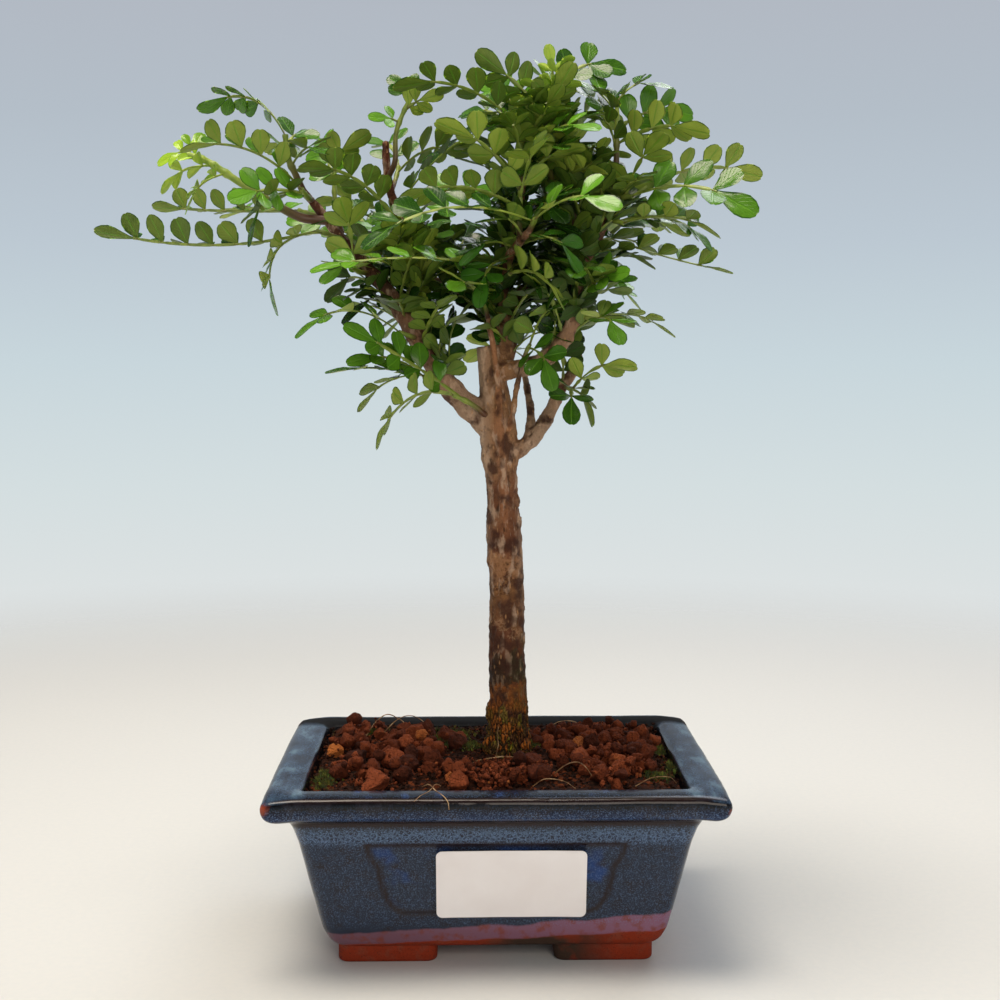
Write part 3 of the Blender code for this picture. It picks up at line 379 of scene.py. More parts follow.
def glazed_stoneware():
    """Blue rutile glaze, glassy with pale crystals in it, over matt red clay that shows at the foot."""
    made, add, shader = finish("rutile glaze on red stoneware")
    where = add("Mapping", {"Vector": add("TexCoord").outputs["Object"], "Location": -POT_MIDDLE})
    x, y, z = add("SeparateXYZ", {0: where}).outputs
    thin, panel, inside, bare = (
        add("Attribute", attribute_name=name).outputs["Fac"]
        for name in ("thin", "panel", "inside", "bare"))
    # Noise of 14 mm, 4 mm, 0.4 mm and 1 mm, and a net of 1.6 mm
    clouds, flecks, crystals, grain = (
        add("TexNoise", {"Vector": where, "Scale": scale, "Detail": detail})
        for scale, detail in ((70, 4), (260, 3), (2300, 2), (900, 4)))
    net = add("TexVoronoi", {"Vector": where, "Scale": 620}, feature="DISTANCE_TO_EDGE")
    # The blue glaze and the thin mauve under it end in lines that wander and climb to the right
    ends = []
    for line, climb in (GLAZE_LINE, CLAY_LINE):
        level = add("Math", {0: x, 1: -climb, 2: z}, operation="MULTIPLY_ADD")
        level = add("Math", {0: clouds, 1: LINE_WANDER * MM, 2: level}, operation="MULTIPLY_ADD")
        edge = (line + LINE_WANDER / 2) * MM
        ends.append(add("MapRange", {0: level, 1: edge - 0.5 * MM, 2: edge + 0.4 * MM},
                        interpolation_type="SMOOTHSTEP"))
    blue, glazed = ends
    clay = add("Math", {0: 1.0, 1: glazed}, operation="SUBTRACT")
    share = add("Math", {0: z, 1: POT_TOP * MM}, operation="DIVIDE")
    wall = add("ValToRGB", {0: share}, [
        (0, "#242c3c"), (0.69, "#222a3a"), (0.75, "#2b3446"), (0.8, "#2c323a"), (0.822, "#2a1f1e"),
        (0.858, "#161013"), (0.88, "#16284a"), (0.919, "#0e1830"), (0.948, "#06070c"), (0.977, "#050405")])
    mauve = coated(add, "#6a4a56", [(x, (-55 * MM, 55 * MM, 1), "#855a70")])
    # The rim's top: streaky glaze, dark on the long sides; the short sides are painted pale, as painted
    # reflection
    normal = add("NewGeometry").outputs["Normal"]
    face_up = add("SeparateXYZ", {0: normal}).outputs[2]
    above = add("Math", {0: z, 1: 57 * MM}, operation="GREATER_THAN")
    rim_top = add("MapRange", {0: face_up, 1: 0.45, 2: 0.8, 4: above}, interpolation_type="SMOOTHSTEP")
    run = add("Mapping", {"Vector": where, "Scale": (1, 0.35, 1)})
    streaks = add("TexNoise", {"Vector": run, "Scale": 190, "Detail": 5})
    painted_reflection_side = add("ValToRGB", {0: streaks}, [
        (0.34, "#0c1019"), (0.43, "#1e2c3e"), (0.54, "#33485c"), (0.66, "#5a7686")])
    dark_side = add("ValToRGB", {0: streaks}, [(0.44, "#040405"), (0.6, "#0a101c"), (0.74, "#243f6e")])
    from_middle = add("Math", {0: x}, operation="ABSOLUTE")
    rim = coated(add, dark_side, [(from_middle, (60 * MM, 63 * MM, 1), painted_reflection_side)])
    # Painted shade: the rim's top at the back is painted near black and made matt, with a wandering edge
    painted_back_shade = add("Math", {0: streaks, 1: 12 * MM, 2: y}, operation="MULTIPLY_ADD")
    painted_back_shade = add("MapRange", {0: painted_back_shade, 1: 45 * MM, 2: 50 * MM, 4: rim_top})
    painted_back_shade = add("MapRange", {0: y, 1: 52.5 * MM, 2: 51.5 * MM, 4: painted_back_shade})
    # The crystals crowd under the lip and along its lower half, where the glaze pooled
    crowd = add("ValToRGB", {0: share}, [
        (0.2, 0.0), (0.25, 0.24), (0.68, 0.26), (0.73, 0.64), (0.79, 0.56), (0.823, 0.08), (0.863, 0.11),
        (0.887, 0.55), (0.929, 0.3), (0.958, 0.05), (0.976, 0.02)])
    on_rim = add("Math", {0: rim_top, 1: 0.26}, operation="MULTIPLY")
    crowd = add("Math", {0: crowd, 1: on_rim}, operation="MAXIMUM")
    band = add("ValToRGB", {0: share}, [(0.69, 0.0), (0.735, 0.5), (0.775, 0.5), (0.806, 0.0)])
    # Wet soil and algae stain the clay, most of all a little right of the middle
    from_stain = add("Math", {0: x, 1: 16 * MM}, operation="SUBTRACT")
    from_stain = add("Math", {0: from_stain}, operation="ABSOLUTE")
    stained = add("MapRange", {0: from_stain, 1: 24 * MM, 2: 10 * MM, 4: clay})
    colour = coated(add, "#852a0a", [
        (glazed, None, mauve),
        (flecks, (0.5, 0.66, 0.7), "#7d3a26"),
        (crystals, (0.6, 0.72, clay), "#2a1810"),
        (clouds, (0.42, 0.56, stained), "#38261a"),
        (blue, None, wall),
        (clouds, (0.5, 0.64, panel), "#1d3a70"),
        (flecks, (0.47, 0.75, blue), "#232026"),
        # the rim's top, with painted reflection on its short sides
        (rim_top, None, rim),
        (crystals, (0.5, 0.66, crowd), "#6d8cb8"),
        (net, (0.16, 0.03, band), "#5f7796"),
        # painted shade on the rim's top at the back
        (painted_back_shade, None, "#0b0d10"),
        (flecks, (0.12, 0.3, thin), "#21120f"),
        # The inner face is painted near black: its dark glaze, darkened further as painted shade inside the
        # mouth
        (inside, None, "#0e0f13"),
        (bare, None, "#8e3f26"),
    ])
    grain = add("MapRange", {0: grain, 4: add("MapRange", {0: clay, 3: 0.05})})
    relief = add("Math", {0: clouds, 1: 0.6, 2: grain}, operation="MULTIPLY_ADD")
    gloss = add("MapRange", {0: rim_top, 3: 0.1, 4: 0.22})
    # the rim's top at the back is made matt under its painted shade
    gloss = add("MapRange", {0: painted_back_shade, 3: gloss, 4: 0.9})
    feed(shader, {
        "Base Color": colour,
        "Roughness": add("MapRange", {0: clay, 3: gloss, 4: 0.8}),
        "Normal": add("Bump", {"Height": relief, "Distance": 0.5 * MM, "Strength": 0.5}),
        "IOR": 1.52,
        "Specular IOR Level": 0.26,
    })
    return made


pot = pot_mesh()
mark_glaze(pot)
piece("pot_body", pot, glazed_stoneware(), "glazed_stoneware", "pot")

# The drain nets
# Two squares of black moulded polythene net, laid over the drain holes before the soil goes in.
# No side shows them.

NET_PITCH = 2.2
NET_STRAND = 0.45


def polythene():
    """Moulded polythene: black and waxy, a little dull where dust has settled on it."""
    made, add, shader = finish("moulded polythene")
    where = add("TexCoord").outputs["Object"]
    dust = add("TexNoise", {"Vector": where, "Scale": 500, "Detail": 3})
    feed(shader, {
        "Base Color": coated(add, "#1a1a1b", [(dust, (0.5, 0.75, 1), "#3a342e")]),
        "Roughness": add("MapRange", {0: dust, 3: 0.35, 4: 0.6}),
    })
    return made


def new_tree(name, inputs):
    """A tree with a Geometry input and these named ones: the tree, what adds its nodes, and its ends."""
    tree = bpy.data.node_groups.new(name, "GeometryNodeTree")
    tree.interface.new_socket("Geometry", in_out="OUTPUT", socket_type="NodeSocketGeometry")
    for label, kind in [("Geometry", "Geometry"), *inputs]:
        tree.interface.new_socket(label, in_out="INPUT", socket_type="NodeSocket" + kind)
    ends = tree.nodes.new("NodeGroupInput").outputs, tree.nodes.new("NodeGroupOutput")
    return tree, partial(add_node, tree), *ends


def grown(mesh, tree, values):
    """The plain mesh that a tree makes of this one with these values for its named inputs."""
    body = put("body", mesh)
    step = body.modifiers.new("step", "NODES")
    step.node_group = tree
    for socket in tree.interface.items_tree:
        if socket.in_out == "INPUT" and socket.name in values:
            step[socket.identifier] = values[socket.name]
    return worked(body)


def net_tree():
    """Turns each edge of a grid into a strand."""
    tree, add, given, made = new_tree("net", [("Strand", "Float"), ("Material", "Material")])
    strands = add("MeshToCurve", {"Mesh": given["Geometry"]})
    section = add("CurvePrimitiveCircle", {"Resolution": 6, "Radius": given["Strand"]})
    tubes = add("CurveToMesh", {"Curve": strands, "Profile Curve": section, "Fill Caps": True})
    apart = add("RealizeInstances", {0: tubes})
    feed(made, {0: add("SetMaterial", {"Geometry": apart, "Material": given["Material"]})})
    return tree


NET = net_tree()
BLACK_NET = polythene()
for node in ("drain_net_left", "drain_net_right"):
    low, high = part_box(node)
    middle = (low + high) / 2
    strands = bmesh.new()
    half = (high.x - low.x) / 2 - NET_STRAND * MM
    count = round(2 * half / (NET_PITCH * MM))
    for index in range(count + 1):
        offset = half * (2 * index / count - 1)
        for ends in (((offset, -half), (offset, half)), ((-half, offset), (half, offset))):
            strands.edges.new([strands.verts.new(middle + Vector((*end, 0))) for end in ends])
    mesh = grown(drawn("lines", strands), NET, {"Strand": NET_STRAND * MM, "Material": BLACK_NET})
    piece(node + "_mesh", mesh, None, "polythene_net", node)

# The soil
# Dark peaty potting soil, pressed in round the roots and left crumbly on top, lower than the
# rim and heaped a little round the trunk.

SOIL_EDGE = 59.4  # loose crumbs lie a millimetre over the packed soil
SOIL_MOUND = 4.2
MOUND_REACH = 24
TRUNK_FOOT = (4.5, 0)
ROOT_HOLE = 9.45
ROOT_CUT = (46, 80)  # the cutter's lower and upper end, and of the nets' pockets
ROOT_SIDES = 48
NET_POCKET_HALF = 10.3
NET_POCKET_CUT = (8, 13.6)
MOUTH_INSET = 13.6
# Inset behind the edge of the rim, and height, from the pot's floor to the soil's upper edge
SOIL_SECTION = [(25.8, 12.3), (23.2, 14.4), (18, 40), (MOUTH_INSET + 0.3, SOIL_EDGE - 1)]
SOIL_STEP = 1.0
SOIL_RINGS = 56
BACK_HEAP = 1.6  # it was pushed up against the back wall


def from_trunk(x, y):
    return math.hypot(x - TRUNK_FOOT[0], y - TRUNK_FOOT[1])


def soil_height(x, y):
    """The even height of the soil."""
    away = from_trunk(x, y)
    mound = SOIL_MOUND * math.exp(-((away / MOUND_REACH) ** 2))
    return SOIL_EDGE + mound + 0.5 * math.sin(x / 9) * math.cos(y / 7) * min(1, away / MOUND_REACH)


def crumbly(x, y):
    """How far the crumbs stand above or below it."""
    where = Vector((x, y, 0))
    lumps = noise.noise(where * 0.22) * 0.9 + noise.noise(where * 0.55) * 0.7
    heaped = BACK_HEAP * float(smooth_step(33, 41, y))
    return lumps + heaped + abs(noise.noise(where * 1.3)) * 0.9 - 0.4


def soil_mesh():
    half_x, half_y = POT_HALF_X - MOUTH_INSET, POT_HALF_Y - MOUTH_INSET
    count_x, count_y = round(2 * half_x / SOIL_STEP), round(2 * half_y / SOIL_STEP)
    steps = (count_y, count_x)
    rings = [
        rounded_rectangle(POT_HALF_X - inset, POT_HALF_Y - inset, 5, height, steps, 4)
        for inset, height in SOIL_SECTION
    ]
    edge = rings[-1]
    for share in np.linspace(0.008, 0.97, SOIL_RINGS):
        ring = []
        for x, y, _ in edge:
            x, y = x * (1 - share), y * (1 - share)
            ring.append((x, y, soil_height(x, y) + crumbly(x, y)))
        rings.append(ring)
    body = solid(*loft(rings))
    holes = [solid(*loft([circle(TRUNK_FOOT, ROOT_HOLE, height, ROOT_SIDES) for height in ROOT_CUT]))]
    for middle in (-DRAIN_PLACE, DRAIN_PLACE):
        pocket = []
        for height in NET_POCKET_CUT:
            ring = rounded_rectangle(NET_POCKET_HALF, NET_POCKET_HALF, 1, height, (2, 2), 2)
            pocket.append([(x + middle, y, z) for x, y, z in ring])
        holes.append(solid(*loft(pocket)))
    return boolean(body, holes, "DIFFERENCE")


def potting_soil():
    """Moist peat and bark fines: nearly black, matt, with brown crumbs in it."""
    made, add, shader = finish("moist peat soil")
    where = add("TexCoord").outputs["Object"]
    # Crumbs of 1 to 2 mm, fines of 0.3 mm
    crumbs = add("TexVoronoi", {"Vector": where, "Scale": 650})
    fines = add("TexNoise", {"Vector": where, "Scale": 2600, "Detail": 4})
    own = add("SeparateColor", {0: crumbs.outputs["Color"]})
    colour = add("ValToRGB", {0: own}, [
        (0, "#1d1009"), (0.45, "#2f180e"), (0.75, "#422112"), (0.93, "#5e2e17"), (1, "#894521")])
    relief = add("Math", {0: fines, 1: 0.5}, operation="MULTIPLY")
    relief = add("Math", {0: relief, 1: crumbs.outputs["Distance"]}, operation="SUBTRACT")
    feed(shader, {
        "Base Color": coated(add, colour, [(fines, (0, 1, 0.6), "#140a06")]),
        "Roughness": 0.85,
        "Specular IOR Level": 0.12,
        "Normal": add("Bump", {"Height": relief, "Distance": 1 * MM, "Strength": 0.9}),
    })
    return made


PEAT = potting_soil()
piece("soil_body", soil_mesh(), PEAT, "potting_soil", "soil", angle=70)

# The trunk and its limbs
# One piece of living wood: a straight young trunk cut off above its fork, with limbs that were
# wired and pruned. The bark is thin, tan and knobbly, and scaly and green with algae at the foot.

# Middle x, height, radius
TRUNK = [
    (4.5, 47, 8.6), (4.5, 63, 8.6), (4.9, 68, 7.6), (5.0, 80, 6.6), (4.6, 91, 6.3), (4.4, 102, 6.2),
    (4.5, 120, 5.9), (3.5, 137, 6.1), (3.0, 148, 5.5), (2.6, 158, 5.4), (1.8, 167, 6.0), (1.4, 176, 6.4),
    (0.4, 186, 5.4), (-1.0, 196, 4.4), (-2.0, 204.6, 4.1),
]
# Name, radius at the start and at the end, and the places it passes
LIMBS = [
    ("left", 4.9, 1.3, [(0, 0, 176), (-13.5, -2, 188.5), (-24, -4, 203), (-31, -5, 215), (-37, -5, 224),
        (-45, -4, 233), (-52, -2, 241), (-59, 0, 250), (-65, 0, 257)]),
    ("left_fork", 2.6, 1.3, [(-23, -4, 202), (-27, 4, 220), (-30, 6, 238), (-33, 5, 250), (-36, 2, 260),
        (-37, 2, 274)]),
    ("right", 3.6, 1.5, [(-1, 0, 196), (9, -3, 197), (17, -6, 200), (23, -8, 206), (27, -8, 214),
        (28, -6, 222), (28, -3, 230), (27, 0, 239), (25, 4, 246), (24, 8, 253)]),
    ("right_fork", 1.9, 1.2, [(28, -3, 229), (34, 0, 238), (38, 2, 246), (41, 3, 254.5), (42, 3, 262)]),
    ("centre", 3.4, 1.3, [(-1, 0, 196), (5, 2, 203), (4, 2, 213), (3, 0, 224), (3, -3, 234), (6, -5, 243),
        (9, -8, 253)]),
    ("low_right", 3.3, 1.5, [(3, 0, 166), (10, 0, 170), (16, 0, 176), (20, 2, 183), (24, 4, 191),
        (29, 6, 198), (29, 8, 207)]),
    ("low_back", 1.9, 1.1, [(12, 0, 172), (13, 6, 181), (12, 12, 189), (11, 18, 196)]),
    ("twig", 1.3, 0.9, [(3, -2, 170), (6, -7, 180), (7.5, -7.5, 190), (10, -7, 200)]),
    ("stub", 1.9, 1.0, [(3.6, -4.5, 141), (3, -6, 158), (2, -6.6, 174), (1.3, -5.6, 190), (-0.2, -5.6, 203),
        (-2.2, -8, 214)]),
    ("back_left", 2.5, 1.2, [(4, 1, 207), (-4, 12, 218), (-16, 24, 226), (-28, 36, 232), (-40, 45, 236)]),
    ("back_right", 2.5, 1.2, [(4, 1, 214), (10, 12, 224), (20, 26, 230), (28, 40, 236), (33, 48, 242)]),
    ("front", 2.0, 1.1, [(3, -1, 227), (5, -12, 234), (8, -22, 238), (11, -32, 241)]),
]
# Knots, healed cuts and root swellings: place and radii across and up
KNOTS = [
    ((8.9, -2, 88), (2.4, 4.6)), ((-0.4, -2.5, 107), (1.6, 2.8)), ((8.7, -1, 144), (1.2, 2.2)),
    ((7.9, -1.5, 151), (1.2, 2.2)), ((-1.2, -3.2, 131), (1.5, 3.2)), ((7.2, -4.2, 118), (1.2, 2.8)),
    ((-1.2, -2, 77), (1.9, 4.0)), ((1.2, -5.2, 96), (1.4, 2.8)), ((-2.6, -2, 167), (2.0, 4.4)),
    ((6.4, -2, 166), (2.0, 4.2)), ((0.5, -4.4, 182), (1.9, 3.4)), ((8.5, 2, 128), (1.4, 2.6)),
    ((-1.6, -3.4, 63), (2.6, 5.4)), ((10.6, -3.2, 62.6), (2.6, 5.4)), ((4.2, -6.6, 62.8), (2.4, 5.6)),
    ((0.4, -5.2, 120), (1.1, 1.8)), ((8.3, -3, 102), (1.3, 2.4)), ((-0.9, -2.4, 152), (1.2, 2.4)),
    ((-24, -6, 203.5), (1.7, 2.2)), ((-31.5, -7, 215), (1.6, 2.0)), ((25.5, -9.5, 207), (1.6, 2.0)),
    ((28.8, -7.5, 218), (1.3, 1.8)), ((-44.6, -5.6, 232), (1.4, 1.7)), ((3.6, -2, 214), (1.6, 2.0)),
    ((17.6, -1.4, 178), (1.5, 1.8)), ((22.6, 1.4, 187), (1.4, 1.8)), ((-52.6, -3.4, 241), (1.2, 1.6)),
    ((27.2, -1.2, 233), (1.3, 1.6)), ((2.6, -7.0, 150), (0.9, 1.4)), ((2.2, -7.2, 176), (0.9, 1.4)),
]
TRUNK_SIDES = 28
LIMB_SIDES = 12
GRAIN = 0.5  # size of the remeshed faces
SCALY_FOOT = (84, 70)  # heights between which the cork scales give way to the trunk's bark
TRUNK_END = (190, 170)  # and the trunk's bark to that of the limbs


def smooth_path(keys, step):
    """A Catmull-Rom curve through the keys, whose last values may be radii, in steps of this length."""
    keys = np.array(keys, float)
    ends = np.vstack([2 * keys[0] - keys[1], keys, 2 * keys[-1] - keys[-2]])
    path = []
    for before, start, end, after in zip(ends, ends[1:], ends[2:], ends[3:]):
        count = max(1, math.ceil(np.linalg.norm((end - start)[:3]) / step))
        for t in np.arange(count) / count:
            path.append(0.5 * (2 * start + (end - before) * t
                               + (2 * before - 5 * start + 4 * end - after) * t ** 2
                               + (3 * start - before - 3 * end + after) * t ** 3))
    return np.array([*path, keys[-1]])


def tube(path, radii, sides, flat=None):
    """Rings square to a path of Vectors, turned as little as it allows, or wider across one way."""
    rings = []
    across = None
    for index, centre in enumerate(path):
        along = (path[min(index + 1, len(path) - 1)] - path[max(index - 1, 0)]).normalized()
        if flat:
            across = flat[index][0]
        else:
            across = along.orthogonal() if across is None else across - along * across.dot(along)
        across = across.normalized()
        upward = along.cross(across)
        wide = float(radii[index])
        high = float(flat[index][1]) if flat else wide
        turns = [math.tau * side / sides for side in range(sides)]
        rings.append([
            centre + across * (wide * math.cos(turn)) + upward * (high * math.sin(turn)) for turn in turns])
    return rings


def wood_mesh():
    """Trunk, limbs and knots run together."""
    body = bmesh.new()

    def take(points, faces):
        corners = [body.verts.new(place(point)) for point in points]
        for face in faces:
            body.faces.new([corners[corner] for corner in face])

    keys = smooth_path([(x, 0, height, radius) for x, height, radius in TRUNK], 1.5)
    take(*loft(tube([Vector(key[:3]) for key in keys], [key[3] for key in keys], TRUNK_SIDES)))
    for _, start, end, points in LIMBS:
        path = smooth_path(points, 1.2)
        shares = np.arange(len(path)) / (len(path) - 1)
        # Twigs swell where leaves have fallen
        swell = 1 + 0.07 * np.sin(shares * len(path) * 0.9 + start)
        radii = (start + (end - start) * shares ** 0.8) * swell
        take(*loft(tube([Vector(point) for point in path], radii, LIMB_SIDES)))
    for middle, (across, up) in KNOTS:
        ball = bmesh.ops.create_icosphere(body, subdivisions=2, radius=1)["verts"]
        for corner in ball:
            x, y, z = corner.co
            corner.co = place(Vector(middle) + Vector((x * across, y * across, z * up)))
    wood = put("wood", drawn("wood", body))
    step = wood.modifiers.new("run together", "REMESH")
    step.mode = "VOXEL"
    step.voxel_size = GRAIN * MM
    soft = wood.modifiers.new("soften", "SMOOTH")
    soft.iterations = 4
    return worked(wood)


def bark_relief(mesh):
    """Upright scales at the foot, fissures and dots above, wrinkles and cracks on the limbs."""
    points = places_of(mesh)
    normals = np.empty(len(points) * 3, np.float32)
    mesh.vertices.foreach_get("normal", normals)
    normals = normals.reshape(-1, 3)
    foot = smooth_step(*SCALY_FOOT, points[:, 2])
    trunk = smooth_step(*TRUNK_END, points[:, 2]) * (np.abs(points[:, 0] - 4) < 12)
    heights = np.empty(len(points))
    for index, (x, y, z) in enumerate(points):
        scales = noise.noise(Vector((x * 0.75, y * 0.75, z * 0.22)))
        rough = noise.noise(Vector((x * 0.5, y * 0.5, z * 0.35 + 9)))
        fissure = abs(noise.noise(Vector((x * 0.9, y * 0.9, z * 0.3 - 5))))
        fine = noise.noise(Vector((x * 1.7, y * 1.7, z * 1.1)))
        heights[index] = (
            foot[index] * (1.1 * abs(scales) - 0.3 + 0.35 * fine)
            + trunk[index] * (0.4 * rough + 0.2 * fine + 0.3 * min(fissure, 0.25))
            + (1 - trunk[index]) * (0.12 * rough + 0.12 * fine + 0.5 * min(fissure, 0.2) - 0.05)
        )
    moved = points + normals * heights[:, None]
    mesh.vertices.foreach_set("co", (moved * MM + np.array(POT_MIDDLE)).astype(np.float32).ravel())
    x, y, z = points.T
    across = np.hypot(x - 3.5, y)
    for name, values in (
        ("raised", np.clip(heights / 0.6 * 0.5 + 0.5, 0, 1)),
        ("limb", smooth_step(9, 30, across) * (z > 160)),
        ("left", smooth_step(-20, -42, x)),
        ("stub", smooth_step(-5.6, -6.4, y) * (np.abs(x - 2) < 4) * (z > 138)),
        ("cut", (z > 203.4) * (np.hypot(x + 2, y) < 3.6) * 1.0),
    ):
        set_numbers(mesh, name, values)


def pepper_bark():
    """Thin living bark: tan with brown blotches and pale breathing dots, green scales at the foot."""
    made, add, shader = finish("living pepper bark")
    where = add("Mapping", {"Vector": add("TexCoord").outputs["Object"], "Location": -POT_MIDDLE})
    x, _, height = add("SeparateXYZ", {0: where}).outputs
    raised, limb, left, stub, cut = (
        add("Attribute", attribute_name=name).outputs["Fac"]
        for name in ("raised", "limb", "left", "stub", "cut"))
    # Upright streaks of 2 mm, patches of 7 mm, grain of 1 mm, breathing dots of 0.5 mm in rows
    upright = add("Mapping", {"Vector": where, "Scale": (1, 1, 0.35)})
    streaks, patches, fine = (
        add("TexNoise", {"Vector": at, "Scale": scale, "Detail": detail})
        for at, scale, detail in ((upright, 420, 5), (where, 150, 3), (where, 1100, 4)))
    dots = add("TexVoronoi", {"Vector": upright, "Scale": 520})
    # Rings and scars up the trunk, where each year's wood ends
    drift = add("TexNoise", {"Vector": where, "Scale": 85, "Detail": 6, "Roughness": 0.7})
    shifted = add("Math", {0: drift, 1: 60 * MM, 2: height}, operation="MULTIPLY_ADD")
    share = add("MapRange", {0: shifted, 1: 90 * MM, 2: 250 * MM})
    # Cork scales of 1.4 by 4 mm round the foot
    tall = add("Mapping", {"Vector": where, "Scale": (1, 1, 0.36)})
    scales = add("TexVoronoi", {"Vector": tall, "Scale": 900}, feature="DISTANCE_TO_EDGE")
    scale_tone = add("TexVoronoi", {"Vector": tall, "Scale": 900}).outputs["Color"]
    scale_tone = add("SeparateColor", {0: scale_tone})
    colour = add("ValToRGB", {0: share}, [
        (0.0, "#2b1a0d"), (0.02, "#3b280f"), (0.04, "#6c5117"), (0.075, "#805f19"), (0.1, "#905620"),
        (0.125, "#985723"), (0.147, "#6d3d19"), (0.163, "#342213"), (0.225, "#302112"), (0.244, "#5e3620"),
        (0.281, "#6d4029"), (0.297, "#a87e5a"), (0.306, "#7d5132"), (0.369, "#895e39"), (0.384, "#402315"),
        (0.397, "#926441"), (0.419, "#a87953"), (0.4375, "#805136"), (0.469, "#502b1a"), (0.5, "#6d4027"),
        (0.55, "#7d4f33"), (0.5875, "#956948"), (0.656, "#a37854"), (0.875, "#9d744f")])
    algae = add("MapRange", {0: height, 1: 90 * MM, 2: 68 * MM}, interpolation_type="SMOOTHSTEP")
    tips = add("MapRange", {0: height, 1: 240 * MM, 2: 268 * MM})
    # Grey-tan on the limbs and on the trunk's left and right sides, outside a middle strip, and green on its
    # right side lower down
    off = add("Math", {0: x, 1: 3.5 * MM}, operation="SUBTRACT")
    off = add("Math", {0: off}, operation="ABSOLUTE")
    grey_away_from_middle = add("MapRange", {0: height, 1: 108 * MM, 2: 122 * MM, 4: 0.65})
    grey_away_from_middle = add("MapRange", {0: off, 1: 3.5 * MM, 2: 8 * MM, 4: grey_away_from_middle})
    flaked = add("MapRange", {0: height, 1: 95 * MM, 2: 112 * MM, 3: 0.3, 4: 0.75})
    green = add("MapRange", {0: height, 1: 114 * MM, 2: 100 * MM, 4: 0.7})
    green = add("MapRange", {0: x, 1: 4 * MM, 2: 9 * MM, 4: green})
    colour = coated(add, colour, [
        (grey_away_from_middle, None, "#b39a82"),
        (streaks, (0.4, 0.6, green), "#3c4520"),
        (limb, (0, 1, 0.55), "#8d5936"),
        (left, (0, 1, 0.85), "#3b1c12"),
        (tips, (0, 1, limb), "#5c2b18"),
        (stub, (0, 1, 0.6), "#a26a46"),
        (streaks, (0.52, 0.62, flaked), "#c8a78a"),
        (patches, (0.5, 0.62, 0.85), "#3d2016"),
        (streaks, (0.54, 0.62, algae), "#91851b"),
        (scale_tone, (0.6, 0.7, algae), "#be6b22"),
        (scales, (0.12, 0.02, algae), "#170e07"),
        (raised, (0.45, 0.25, 0.8), "#2b1a0e"),
        (dots, (0.2, 0.1, 0.6), "#cd9865"),
        (fine, (0, 1, 0.35), "#4e301b"),
        (cut, None, "#3b2518"),
    ])
    relief = add("Math", {0: fine, 1: 0.6, 2: streaks}, operation="MULTIPLY_ADD")
    domes = add("MapRange", {0: scales, 2: 0.25, 4: algae})
    relief = add("Math", {0: relief, 1: domes}, operation="ADD")
    feed(shader, {
        "Base Color": colour,
        "Roughness": add("MapRange", {0: streaks, 3: 0.8, 4: 0.6}),
        "Specular IOR Level": 0.2,
        "Normal": add("Bump", {"Height": relief, "Distance": 1.2 * MM, "Strength": 1.0}),
    })
    return made


wood = wood_mesh()
bark_relief(wood)
piece("trunk_and_limbs", wood, pepper_bark(), "bark", "trunk", angle=80)

# The shoots
# Soft green stems of this year on the limbs, each with feathered leaves. A leaf's rib has narrow
# wings and a joint at each pair of leaflets, and ends in one longer leaflet.

